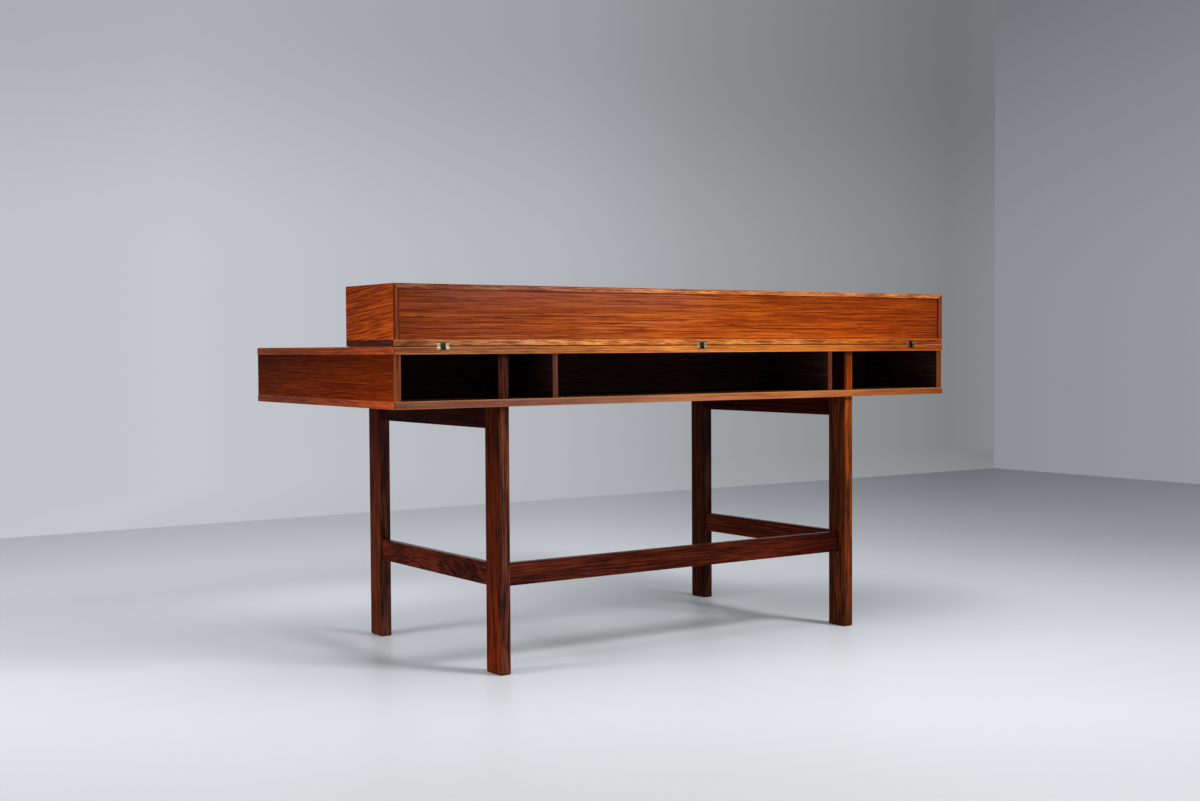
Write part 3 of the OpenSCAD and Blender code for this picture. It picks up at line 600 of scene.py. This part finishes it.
# Painted highlights along the uprights' edges, and painted shade on their outer arris: place from
# the middle, reach, and strengths
END_HIGHLIGHT_LINES, END_ARRIS_SHADE_LINE = ((0.8125, 0.0013), (0.7990, 0.0013)), (0.8148, 0.0011)
END_HIGHLIGHT, END_ARRIS_SHADE = 0.12, 0.6
# The lippings: blush of the lower ones, tints at the desk's ends with painted shade towards the
# rear, painted highlights along the arrises at these heights, which are weaker at the ends, and
# painted shade in the gap under the box
LIPPING_BLUSH = tone(168, 104, 80)
LIPPING_TINT = (0.95, 0.44, 0.26)
LIPPING_REAR_SHADE = (-0.4, 0.1, (0.34, 0.40, 0.70))
LIPPING_HIGHLIGHT_LINES = ((0.7230, 0.0011), (0.7095, 0.0012), (0.6085, 0.0012), (0.5937, 0.0010))
LIPPING_SHADE_LINE = (0.7255, 0.0018)
LIPPING_HIGHLIGHT, LIPPING_END_LOSS, LIPPING_SHADE = 0.3, 0.21, 0.85
# Painted shade on the lippings' corner arrises: places along X and Y, and reach
CORNER_X, CORNER_Y, CORNER_REACH = 0.815, 0.370, 0.0022


class DressCase(bpy.types.Operator):
    """Veneer, lippings and inner faces of the case, with painted light and shade."""
    bl_idname = "desk.dress_case"
    bl_label = "Dress the case"

    def execute(self, context):
        scene = context.scene
        give(["top_panel", "bottom_panel"], self.panel(scene))
        give(["end_panel_left", "end_panel_right", "divider_left", "divider_right",
              "drawer_partition"], self.upright(scene))
        give(["top_lippings"],
             self.lipping("top_lipping_rosewood", scene.desk_edge, 0.0, EDGE_PAINTED_LIGHT))
        give(["bottom_lippings"],
             self.lipping("bottom_lipping_rosewood", scene.desk_edge, 0.4, BLUSH_PAINTED_LIGHT))
        # The shelf backs take the darker wood of painted shade
        give(nodes_named("shelf_back"),
             plain_wood("shelf_back_rosewood", "X", scene.desk_inner, shine=0.05))
        give(["drawer_stops"], plain_wood("stop_wood", "X", scene.desk_drawer))
        return {"FINISHED"}

    @staticmethod
    def panel(scene):
        """Veneer on the top's upper face, and darker wood of painted shade on the faces inside
        and under the case.
        """
        maker = Maker("panel_veneer")
        point = maker.place()
        veneer, height = grain_colour(maker, point, "X", scene.desk_veneer, tight=0.7, sway=0.04)
        # Darker wood, as painted shade, inside and under the case
        inner, _ = grain_colour(maker, point, "X", scene.desk_inner)
        upper = maker.step(maker.split(point)[2], *TOP_FACE)
        return finish_wood(maker, maker.mix(upper, inner, veneer), height, scene.desk_veneer)

    @staticmethod
    def upright(scene):
        """Veneer on the ends and brown front edges, with painted light and shade, and darker
        inner faces of painted shade.
        """
        maker = Maker("upright_veneer")
        point = maker.place()
        across, depth, up = maker.split(point)
        veneer, height = grain_colour(maker, point, "Y", scene.desk_end, sway=0.004, broad=0.4,
                                      streak=0.9, fine=0.8, veins=0.15, tight=1.8, short=0.7)
        veneer = maker.darken(1.0, veneer, END_TINT)
        # Painted shade towards the top, and towards the rear, where it turns greyer
        veneer = maker.shift(veneer, up, *END_TOP_SHADE)
        veneer = maker.shift(veneer, depth, *END_REAR_SHADE)
        edge, _ = grain_colour(maker, point, "Z", scene.desk_edge, veins=0.3)
        # Painted light and shade along the desk
        edge = paint_light_along_desk(maker, edge, UPRIGHT_PAINTED_SHADE)
        # Painted highlights along the arrises of the front edges, and painted shade on the outer
        # arris
        highlight_and_wear = maker.lines(abs(across), END_HIGHLIGHT_LINES)
        edge = maker.mix(highlight_and_wear * END_HIGHLIGHT, edge, scene.desk_edge.light)
        dark = maker.near(abs(across), *END_ARRIS_SHADE_LINE)
        edge = maker.mix(dark * END_ARRIS_SHADE, edge, scene.desk_edge.vein)
        # Darker wood, as painted shade, on the inner faces
        inner, _ = grain_colour(maker, point, "Y", scene.desk_inner)
        outer = maker.step(abs(across), *END_FACE)
        front = maker.step(abs(depth), *FRONT_FACE)
        colour = maker.mix(front, maker.mix(outer, inner, veneer), edge)
        return finish_wood(maker, colour, height, scene.desk_end, shine=0.003)

    @staticmethod
    def lipping(name, look, blush, stops):
        """Blotchy solid edges with painted light along the desk, painted shade at their corners
        and under the box, and painted highlights along their arrises.
        """
        maker = Maker(name)
        point = maker.place()
        across, depth, up = maker.split(point)
        along, _ = grain_colour(maker, point, "X", look, broad=0.8, streak=0.8, fine=0.8,
                                veins=0.08)
        # Painted light and shade along the desk
        along = paint_light_along_desk(maker, maker.mix(blush, along, LIPPING_BLUSH), stops)
        sideways, height = grain_colour(maker, point, "Y", look, broad=0.8, streak=1.0,
                                        veins=0.15)
        # End faces, with painted shade towards the rear
        sideways = maker.shift(maker.darken(1.0, sideways, LIPPING_TINT), depth, *LIPPING_REAR_SHADE)
        faces = [abs(side) for side in maker.split(maker.facing())]
        ends = maker.step(faces[0], *FACING)
        colour = maker.mix(ends, along, sideways)
        # Painted highlights along the arrises
        highlight_and_wear = maker.lines(up, LIPPING_HIGHLIGHT_LINES) * (LIPPING_HIGHLIGHT - ends * LIPPING_END_LOSS)
        colour = maker.mix(highlight_and_wear, colour, look.light)
        # Painted shade on the corner arrises and in the gap under the box
        corner = (maker.near(abs(across), CORNER_X, CORNER_REACH)
                  * maker.near(abs(depth), CORNER_Y, CORNER_REACH))
        arris = maker.near(up, *LIPPING_SHADE_LINE) * (1 - maker.step(faces[2], *ARRIS_FACING))
        colour = maker.mix(maker.most(corner, arris) * LIPPING_SHADE, colour, look.vein)
        return finish_wood(maker, colour, height, look)


# Box

# Places in metres between which one finish gives way to the next
BOX_BACK_FACE = (-0.3655, -0.3650)
BOX_END_FACE = (0.8130, 0.8135)
BOX_MIDDLE = (0.80, 0.81)
# Tints of the back's veneer: its ruddy clouds, and levels low down and high up
RUDDY_TINT = (0.95, 0.80, 1.1)
BACK_RISE, BACK_LOW, BACK_HIGH = (0.75, 0.84), 1.15, 0.9
# Painted sheen, rosy in tone, at the upper left of the back: heights, place along X, reach and
# strength
PAINTED_SHEEN, PAINTED_SHEEN_RISE, PAINTED_SHEEN_X, PAINTED_SHEEN_REACH = tone(160, 100, 92), (0.79, 0.84), -0.35, 0.45
PAINTED_SHEEN_STRENGTH = 0.15
# Lines along the edges, a painted highlight and two dark lines, the lower one painted shade in
# the gap under the box: height and reach, and strengths
BOX_HIGHLIGHT_LINE, BOX_DARK_LINES = (0.7385, 0.0012), ((0.7260, 0.0015), (0.8578, 0.0012))
BOX_HIGHLIGHT, BOX_DARK = 0.3, 0.8
# Tints of the end grain of the box's top and bottom, and of the ends' edges
END_GRAIN_TINT, BOX_EDGE_TINT = (0.6, 0.5, 0.6), (0.42, 0.32, 0.55)
# Slope of the figure of the ends, and their veneer's tints: all over, then painted shade towards
# the top and towards the rear
END_SLANT = 0.09
BOX_END_TINT = (1.22, 1.32, 1.16)
BOX_END_TOP_SHADE = (0.74, 0.86, (0.62, 0.57, 0.76))
BOX_END_REAR_SHADE = (-0.33, -0.20, (0.82, 0.80, 0.8))
# Bands of the ends' edges, from the inner face to the outer one; the inner band is painted shade
# of the recess
BAND_PLACES = (0.797, 0.815)
EDGE_BANDS_WITH_RECESS_SHADE = [(0.0, (0.45, 0.40, 0.8)), (0.32, (0.45, 0.40, 0.8)), (0.42, (1, 1, 1)),
         (0.70, (1, 1, 1)), (0.80, (0.5, 0.42, 0.4)), (1.0, (0.4, 0.3, 0.3))]


class DressBox(bpy.types.Operator):
    """Veneer and edges of the box on the top."""
    bl_idname = "desk.dress_box"
    bl_label = "Dress the box"

    def execute(self, context):
        scene = context.scene
        give(["box_back"], self.back(scene))
        give(["box_top", "box_bottom"], self.panel(scene))
        give(["box_end_left", "box_end_right"], self.end(scene))
        # Darker wood, as painted shade, on the box's dividers
        give(nodes_named("box_divider"),
             plain_wood("box_divider_rosewood", "Y", scene.desk_inner))
        return {"FINISHED"}

    @staticmethod
    def back(scene):
        """Veneer outside, with painted light along the desk and a painted sheen at the upper
        left, and darker wood of painted shade inside.
        """
        maker = Maker("box_back_veneer")
        point = maker.place()
        across, depth, up = maker.split(point)
        veneer, height = grain_colour(maker, point, "X", scene.desk_veneer, sway=0.004,
                                      broad=0.35, streak=1.0, fine=1.2, veins=0.2, tight=2.0,
                                      short=0.6)
        # Painted light and shade along the desk
        veneer = paint_light_along_desk(maker, veneer, VENEER_PAINTED_LIGHT)
        ruddy = grain_noise(maker, point, "X", RUDDY_SCALES, 1)
        veneer = maker.darken(maker.step(ruddy, *RUDDY_LEVELS), veneer, RUDDY_TINT)
        level = maker.mix(maker.step(up, *BACK_RISE), grey(BACK_LOW), grey(BACK_HIGH))
        veneer = maker.darken(1.0, veneer, level)
        # Painted sheen at the upper left
        painted_sheen = maker.step(up, *PAINTED_SHEEN_RISE) * maker.near(across, PAINTED_SHEEN_X, PAINTED_SHEEN_REACH)
        veneer = maker.mix(painted_sheen * PAINTED_SHEEN_STRENGTH, veneer, PAINTED_SHEEN)
        # Darker wood, as painted shade, inside
        inner, _ = grain_colour(maker, point, "X", scene.desk_inner)
        outside = 1 - maker.step(depth, *BOX_BACK_FACE)
        return finish_wood(maker, maker.mix(outside, inner, veneer), height, scene.desk_veneer)

    @staticmethod
    def panel(scene):
        """Veneer on the flat faces, blotchy edges along the sides with painted light, a painted
        highlight and painted shade in the gap, and dark end grain.
        """
        maker = Maker("box_panel_veneer")
        point = maker.place()
        height_up = maker.split(point)[2]
        across, depth, up = maker.split(maker.facing())
        veneer, height = grain_colour(maker, point, "X", scene.desk_veneer, tight=0.7, sway=0.04)
        edge, _ = grain_colour(maker, point, "X", scene.desk_edge, broad=0.9, streak=1.3,
                               fine=1.0, veins=0.3, short=3.0)
        # Painted light and shade along the desk
        edge = maker.mix(maker.step(height_up, *BOX_MIDDLE), paint_light_along_desk(maker, edge, BOX_BOTTOM_PAINTED_LIGHT),
                         paint_light_along_desk(maker, edge, BOX_TOP_PAINTED_LIGHT))
        # Painted highlight along the bottom's upper arris
        highlight_and_wear = maker.near(height_up, *BOX_HIGHLIGHT_LINE)
        edge = maker.mix(highlight_and_wear * BOX_HIGHLIGHT, edge, scene.desk_edge.light)
        ending, _ = grain_colour(maker, point, "Y", scene.desk_base, streak=1.6)
        ending = maker.darken(1.0, ending, END_GRAIN_TINT)
        colour = maker.mix(maker.step(abs(depth), *FACING), veneer, edge)
        colour = maker.mix(maker.step(abs(across), *FACING), colour, ending)
        # Dark lines: painted shade in the gap under the box, and a line at the top arris
        dark = maker.lines(height_up, BOX_DARK_LINES) * (1 - maker.step(abs(up), *ARRIS_FACING))
        colour = maker.mix(dark * BOX_DARK, colour, scene.desk_edge.vein)
        return finish_wood(maker, colour, height, scene.desk_veneer, shine=0.02)

    @staticmethod
    def end(scene):
        """Veneer with a slanting figure and painted shade outside, a banded edge with the
        recess's painted shade, and darker wood of painted shade inside.
        """
        maker = Maker("box_end_veneer")
        point = maker.place()
        across, depth, up = maker.split(point)
        slanted = maker.join(across, depth, up + depth * END_SLANT)
        veneer, height = grain_colour(maker, slanted, "Y", scene.desk_end, sway=0.008, broad=0.35,
                                      streak=1.2, fine=1.3, veins=0.5, tight=1.5, short=0.8)
        veneer = maker.darken(1.0, veneer, BOX_END_TINT)
        # Painted shade towards the top and towards the rear
        veneer = maker.shift(veneer, up, *BOX_END_TOP_SHADE)
        veneer = maker.shift(veneer, depth, *BOX_END_REAR_SHADE)
        edge, _ = grain_colour(maker, point, "Z", scene.desk_edge, veins=0.3)
        edge = maker.darken(1.0, edge, BOX_EDGE_TINT)
        # Bands of the edge, with the recess's painted shade near the inner face
        bands = maker.ramp(maker.step(abs(across), *BAND_PLACES, smooth=False), EDGE_BANDS_WITH_RECESS_SHADE)
        edge = maker.darken(1.0, edge, bands)
        # Darker wood, as painted shade, inside
        inner, _ = grain_colour(maker, point, "Y", scene.desk_inner)
        outer = maker.step(abs(across), *BOX_END_FACE)
        face = maker.step(abs(maker.split(maker.facing())[1]), *FACING)
        colour = maker.mix(face, maker.mix(outer, inner, veneer), edge)
        return finish_wood(maker, colour, height, scene.desk_end, shine=0.008)


# Felt

# Left, right, front and rear limits of the strips, in metres. The right end stays open.
FELT_PLACES = {
    "felt_front": (-0.8145, 0.7600, -0.3580, -0.3460),
    "felt_rear": (-0.8145, 0.8000, -0.1620, -0.1500),
    "felt_left": (-0.8140, -0.8020, -0.3455, -0.1625),
}
# Thickness, height of the middle, rounding of the edges and relief of the fibres, in metres
FELT_THICKNESS, FELT_MIDDLE, FELT_ROUNDING, FELT_RELIEF = 0.0009, 0.72550, 0.0003, 0.0002
FELT_DARK, FELT_LIGHT, FELT_ROUGHNESS = tone(20, 14, 12), tone(46, 34, 28), 0.95


class FeltStrips(bpy.types.Operator):
    """Thin dark felt strips under the box, which rest on the top."""
    bl_idname = "desk.felt_strips"
    bl_label = "Lay the felt strips"

    def execute(self, context):
        maker = Maker("felt")
        fibre = maker.noise(maker.place(), scale=900, detail=3)
        felt = maker.surface(maker.mix(fibre, FELT_DARK, FELT_LIGHT), FELT_ROUGHNESS, fibre,
                             FELT_RELIEF, **{"Specular IOR Level": 0.1})
        for name, (left, right, front, rear) in FELT_PLACES.items():
            mesh = bpy.data.meshes.new(name)
            shape = bmesh.new()
            bmesh.ops.create_cube(shape, size=1)
            bmesh.ops.scale(shape, vec=(right - left, rear - front, FELT_THICKNESS),
                            verts=shape.verts)
            bmesh.ops.bevel(shape, geom=shape.edges, offset=FELT_ROUNDING, segments=2,
                            affect="EDGES")
            bmesh.ops.translate(shape, vec=((left + right) / 2, (front + rear) / 2, FELT_MIDDLE),
                                verts=shape.verts)
            shape.to_mesh(mesh)
            shape.free()
            strip = bpy.data.objects.new(name, mesh)
            context.scene.collection.objects.link(strip)
            mesh.materials.append(felt)
            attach(strip, "flap_box")
        return {"FINISHED"}


# Drawers and hinges

# Each kind of drawer piece: its wood, the direction of its grain, and its settings
DRAWER_WOODS = {
    "_front": ("drawer_front_veneer", "X", "desk_veneer"),
    "_sides": ("drawer_side_wood", "Y", "desk_drawer"),
    "_back": ("drawer_back_wood", "X", "desk_drawer"),
    "_bottom": ("drawer_bottom_wood", "X", "desk_drawer"),
}
# Scales of the tarnish and the scratches, and the levels between which the tarnish comes in
TARNISH_SCALE, SCRATCH_SCALES, TARNISH_LEVELS = 160, (900, 2600, 2600), (0.5, 0.8)
# How much the metal's roughness swings, the depth of its scratches in metres, and how much
# rougher the blackened links are
METAL_SWING, METAL_RELIEF, LINK_GLOSS = 0.3, 0.00002, 0.2


class DressDrawers(bpy.types.Operator):
    """Veneered drawer fronts, and pale wood for the rest of each drawer."""
    bl_idname = "desk.dress_drawers"
    bl_label = "Dress the drawers"

    def execute(self, context):
        for ending, (name, grain, settings) in DRAWER_WOODS.items():
            wood = plain_wood(name, grain, getattr(context.scene, settings))
            give(nodes_named("drawer_", ending=ending), wood)
        return {"FINISHED"}


class DressHinges(bpy.types.Operator):
    """Worn brass on the flap hinges, steel on the screws and pins."""
    bl_idname = "desk.dress_hinges"
    bl_label = "Dress the hinges"

    def execute(self, context):
        look = context.scene.desk_metal
        give(nodes_named("hinge_", ending="_leaf"),
             self.metal("hinge_brass", look.brass, look.tarnish, look.gloss))
        give(nodes_named("hinge_", ending="_link"),
             self.metal("link_metal", look.link, look.link_worn, look.gloss + LINK_GLOSS))
        give(["hinge_screws_lower", "hinge_screws_upper"],
             self.metal("screw_brass", look.brass, look.tarnish, look.gloss))
        give(["hinge_pins", "base_screws"],
             self.metal("pin_steel", look.steel, look.tarnish, look.gloss))
        return {"FINISHED"}

    @staticmethod
    def metal(name, clean, highlight_and_wear, gloss):
        maker = Maker(name)
        point = maker.place()
        cloud = maker.noise(point, scale=TARNISH_SCALE, detail=4)
        scratch = maker.noise(maker.vector_math("MULTIPLY", point, SCRATCH_SCALES), detail=2)
        colour = maker.mix(maker.step(cloud, *TARNISH_LEVELS), clean, highlight_and_wear)
        # Painted shade, darker towards the right
        return maker.surface(paint_light_along_desk(maker, colour, HINGE_PAINTED_SHADE),
                             gloss + (cloud - MIDDLE) * METAL_SWING, scratch, METAL_RELIEF,
                             Metallic=1.0)


# Stage

# Lamps: where each hangs, where it aims, and its size, in metres
LAMPS = {
    "right_lamp": ((1.5, -3.3, 3.1), (0.1, -0.1, 0.5), 1.1),
    "left_lamp": ((-3.4, 0.1, 2.0), (-0.4, 0, 0.5), 1.0),
    "top_lamp": ((0.0, -0.4, 3.8), (0, 0, 0.4), 3.2),
}
# Limits of the floor, the backdrop and the side wall. All places here are in metres.
STAGE_LEFT, STAGE_RIGHT, STAGE_FRONT, STAGE_REAR, STAGE_HEIGHT = -14.0, 16.0, -14.0, 4.6, 7.0
WALL_X, WALL_REAR = 4.8, 2.95
# Heights between which the floor gives way to the backdrop
BACKDROP_FOOT = (0.001, 0.002)
# Cosine and sine of the camera's heading
COSINE, SINE = 0.825, 0.565
# Painted shade on the floor, where it darkens, and its tint: on the camera's right, at the rear,
# far off on the right, and near the camera. The first and the last fade out in front.
RIGHT_PLACES, FLOOR_RIGHT_SHADE = (0.4, 2.3), 0.65
REAR_PLACES, FLOOR_REAR_SHADE = (0.8, 2.8), 0.85
FAR_PLACES, FAR_RIGHT_PLACES, FLOOR_FAR_SHADE = (0.4, 2.2), (-0.3, 0.8), (0.77, 0.78, 0.79)
FRONT_PLACES, FLOOR_FRONT_SHADE = (0.9, 1.6), (0.88, 0.87, 0.86)
FADE_PLACES = (-3.2, -1.6)
# Painted light and painted shadow on the floor, as paler and darker patches: middle, reach and
# tint
FLOOR_LIGHT_AND_SHADOW_PATCHES = (((-0.20, 0.65), 0.75, 1.34), ((-0.52, 0.90), 0.60, 1.10),
                 ((0.85, -0.05), 0.50, 0.78))
# Painted tone of the backdrop, which glows for the camera, with the fall of light across it:
# place along X, and level of red. Green and blue are higher, and blue most of all left of the
# cool place.
BACKDROP_TONES = ((-0.3, 192), (0.5, 196), (2.0, 184), (2.8, 178), (3.9, 159), (4.8, 147),
                  (6.2, 128), (7.4, 141), (9.0, 147))
COOL_PLACE, GREEN_MORE, BLUE_MORE, BLUE_MOST = 3, 3, 6, 9
# How far those tones lean sideways for each metre in front of the backdrop
BACKDROP_LEAN = 0.685
# Heights between which the backdrop's painted shade comes in, and its tint
BACKDROP_RISE, BACKDROP_TOP_SHADE = (1.2, 2.6), 0.75
# Where the stage gives way to the distance: in front, on the left and on the right
BEYOND_FRONT, BEYOND_LEFT, BEYOND_RIGHT = (2.6, 5.0), (3.2, 6.0), (7.0, 11.0)
# Where the lit floor gives way to the painted one
PAINTED_PLACES = (2.945, 2.955)
# The side wall's painted tones from front to rear, and its painted shade at the top
WALL_FRONT, WALL_TONES = -2.0, ((0.73, tone(149, 152, 157)), (1.0, tone(141, 144, 149)))
WALL_RISE, WALL_PLACES, WALL_TOP_SHADE = (0.9, 3.4), (-2.0, 1.4), 0.55


class MakeCamera(bpy.types.Operator):
    """Puts the camera where the desk is seen from its shelf side, from the left."""
    bl_idname = "desk.make_camera"
    bl_label = "Make the camera"

    def execute(self, context):
        look = context.scene.desk_camera
        data = bpy.data.cameras.new("camera")
        data.lens = look.lens
        data.sensor_width = 36
        data.sensor_fit = "HORIZONTAL"
        camera = bpy.data.objects.new("camera", data)
        context.scene.collection.objects.link(camera)
        camera.matrix_world = (
            Matrix.Translation(look.place)
            @ Matrix.Rotation(-look.heading, 4, "Z")
            @ Matrix.Rotation(math.pi / 2 - look.dip, 4, "X")
            @ Matrix.Rotation(-look.roll, 4, "Z"))
        context.scene.camera = camera
        return {"FINISHED"}


class MakeStage(bpy.types.Operator):
    """Pale floor, backdrop and soft lamps."""
    bl_idname = "desk.make_stage"
    bl_label = "Make the stage"

    def execute(self, context):
        scene = context.scene
        look = scene.desk_stage
        scene.view_settings.view_transform = "Standard"
        self.sky(scene, look)
        self.floor(scene, look)
        self.side_wall(scene, look)
        for name, (place, aim, size) in LAMPS.items():
            self.lamp(scene, name, place, aim, size, getattr(look, name))
        return {"FINISHED"}

    @staticmethod
    def sky(scene, look):
        """Soft light from all round, and a pale colour where the camera sees past the floor."""
        maker = Maker("surroundings", world=True)
        light = maker.node("ShaderNodeBackground", inputs={
            "Color": (*look.sky, 1), "Strength": look.sky_strength})
        pale = maker.node("ShaderNodeBackground", inputs={
            "Color": (*look.distance, 1), "Strength": 1.0})
        both = maker.node("ShaderNodeMixShader", inputs={0: maker.seen(), 1: light, 2: pale})
        maker.node("ShaderNodeOutputWorld", inputs={"Surface": both})
        scene.world = maker.owner

    @staticmethod
    def sheet(scene, name, points, faces):
        """A flat part of the stage."""
        mesh = bpy.data.meshes.new(name)
        mesh.from_pydata(points, [], faces)
        part = bpy.data.objects.new(name, mesh)
        scene.collection.objects.link(part)
        return part

    def floor(self, scene, look):
        """Floor, which takes the desk's shadow and has painted shade and patches, and a backdrop,
        which glows for the camera as it is painted, with painted light and shade.
        """
        outline = [(STAGE_FRONT, 0.0), (STAGE_REAR, 0.0), (STAGE_REAR, STAGE_HEIGHT)]
        points = [(x, y, z) for y, z in outline for x in (STAGE_LEFT, STAGE_RIGHT)]
        faces = [(2 * i, 2 * i + 1, 2 * i + 3, 2 * i + 2) for i in range(len(outline) - 1)]
        backdrop = self.sheet(scene, "backdrop", points, faces)
        maker = Maker("backdrop_paint")
        across, depth, up = maker.split(maker.place())
        raised = maker.step(up, *BACKDROP_FOOT)
        right = across * COSINE - depth * SINE
        away = across * SINE + depth * COSINE
        behind = maker.step(depth, *FADE_PLACES)
        # Painted shade on the floor
        floor = maker.darken(maker.step(right, *RIGHT_PLACES) * behind, look.floor,
                             grey(FLOOR_RIGHT_SHADE))
        floor = maker.darken(maker.step(depth, *REAR_PLACES), floor, grey(FLOOR_REAR_SHADE))
        far_right = maker.step(away, *FAR_PLACES) * maker.step(right, *FAR_RIGHT_PLACES)
        floor = maker.darken(far_right, floor, FLOOR_FAR_SHADE)
        floor = maker.darken(maker.step(away * -1, *FRONT_PLACES) * behind, floor, FLOOR_FRONT_SHADE)
        # Patches of painted light and painted shadow
        for middle, reach, tint in FLOOR_LIGHT_AND_SHADOW_PATCHES:
            far = maker.vector_math("DISTANCE", maker.place(), (*middle, 0), output=1)
            floor = maker.darken(1 - maker.step(far, 0.0, reach), floor, grey(tint))
        lit = maker.node("ShaderNodeBsdfPrincipled", inputs={
            "Base Color": maker.mix(raised, floor, look.wall), "Roughness": 0.4})
        start, end = BACKDROP_TONES[0][0], BACKDROP_TONES[-1][0]
        sideways = across - (depth - STAGE_REAR) * BACKDROP_LEAN
        # The backdrop glows for the camera with painted tones, with painted light and shade
        # across it
        paint = maker.ramp(maker.step(sideways, start, end, smooth=False),
                           [((place - start) / (end - start), backdrop_tone(place, level))
                            for place, level in BACKDROP_TONES])
        # Painted shade towards the top
        paint = maker.darken(maker.step(up, *BACKDROP_RISE), paint, grey(BACKDROP_TOP_SHADE))
        beyond = maker.most(maker.step(depth * -1, *BEYOND_FRONT),
                            maker.step(across * -1, *BEYOND_LEFT),
                            maker.step(across, *BEYOND_RIGHT))
        paint = maker.mix(beyond, paint, look.distance)
        painted = maker.node("ShaderNodeEmission", inputs={"Color": paint, "Strength": 1.0})
        mask = maker.most(raised, maker.step(depth, *PAINTED_PLACES), beyond)
        both = maker.node("ShaderNodeMixShader", inputs={
            0: maker.seen() * mask, 1: lit, 2: painted})
        maker.node("ShaderNodeOutputMaterial", inputs={"Surface": both})
        backdrop.data.materials.append(maker.owner)

    def side_wall(self, scene, look):
        """Wall on the right, which glows for the camera with painted tones and painted shade at
        its top, and neither lights nor shades the desk.
        """
        points = [(WALL_X, WALL_REAR, 0), (WALL_X, STAGE_FRONT, 0),
                  (WALL_X, STAGE_FRONT, STAGE_HEIGHT), (WALL_X, WALL_REAR, STAGE_HEIGHT)]
        wall = self.sheet(scene, "side_wall", points, [(0, 1, 2, 3)])
        wall.visible_diffuse = False
        wall.visible_shadow = False
        maker = Maker("side_wall_paint")
        _, depth, up = maker.split(maker.place())
        paint = maker.ramp(maker.step(depth, WALL_FRONT, WALL_REAR, smooth=False),
                           [(0.0, look.distance), *WALL_TONES])
        top = maker.step(up, *WALL_RISE) * maker.step(depth, *WALL_PLACES)
        # Painted shade at the top
        paint = maker.darken(top, paint, grey(WALL_TOP_SHADE))
        painted = maker.node("ShaderNodeEmission", inputs={"Color": paint, "Strength": 1.0})
        maker.node("ShaderNodeOutputMaterial", inputs={"Surface": painted})
        wall.data.materials.append(maker.owner)

    @staticmethod
    def lamp(scene, name, place, aim, size, power):
        data = bpy.data.lights.new(name, "AREA")
        data.shape = "SQUARE"
        data.size = size
        data.energy = power
        lamp = bpy.data.objects.new(name, data)
        lamp.location = place
        lamp.rotation_euler = (Vector(aim) - Vector(place)).to_track_quat("-Z", "Y").to_euler()
        scene.collection.objects.link(lamp)


def backdrop_tone(place, level):
    """A cool grey of the backdrop, bluer on the left."""
    blue = BLUE_MORE if place > COOL_PLACE else BLUE_MOST
    return tone(level, level + GREEN_MORE, level + blue)


OPERATORS = (MakeCamera, MakeStage, DressLegs, DressRails, DressCase, DressBox, FeltStrips,
             DressDrawers, DressHinges)


class DeskPanel(bpy.types.Panel):
    """Lists the desk's steps and their settings."""
    bl_idname = "VIEW3D_PT_desk"
    bl_label = "Partners desk"
    bl_space_type = "VIEW_3D"
    bl_region_type = "UI"
    bl_category = "Desk"

    def draw(self, context):
        for operator in OPERATORS:
            self.layout.operator(operator.bl_idname)
        for name in SETTINGS:
            box = self.layout.box()
            group = getattr(context.scene, name)
            for prop in group.bl_rna.properties:
                if prop.identifier not in ("rna_type", "name"):
                    box.prop(group, prop.identifier)


CLASSES = (*SETTINGS.values(), *OPERATORS, DeskPanel)


def register():
    for kind in CLASSES:
        bpy.utils.register_class(kind)
    for name, kind in SETTINGS.items():
        setattr(bpy.types.Scene, name, PointerProperty(type=kind))


def unregister():
    for name in SETTINGS:
        delattr(bpy.types.Scene, name)
    for kind in reversed(CLASSES):
        bpy.utils.unregister_class(kind)


def main():
    register()
    bpy.ops.desk.make_camera()
    bpy.ops.desk.make_stage()
    bpy.ops.desk.dress_legs()
    bpy.ops.desk.dress_rails()
    bpy.ops.desk.dress_case()
    bpy.ops.desk.dress_box()
    bpy.ops.desk.felt_strips()
    bpy.ops.desk.dress_drawers()
    bpy.ops.desk.dress_hinges()


if __name__ == "__main__":
    main()
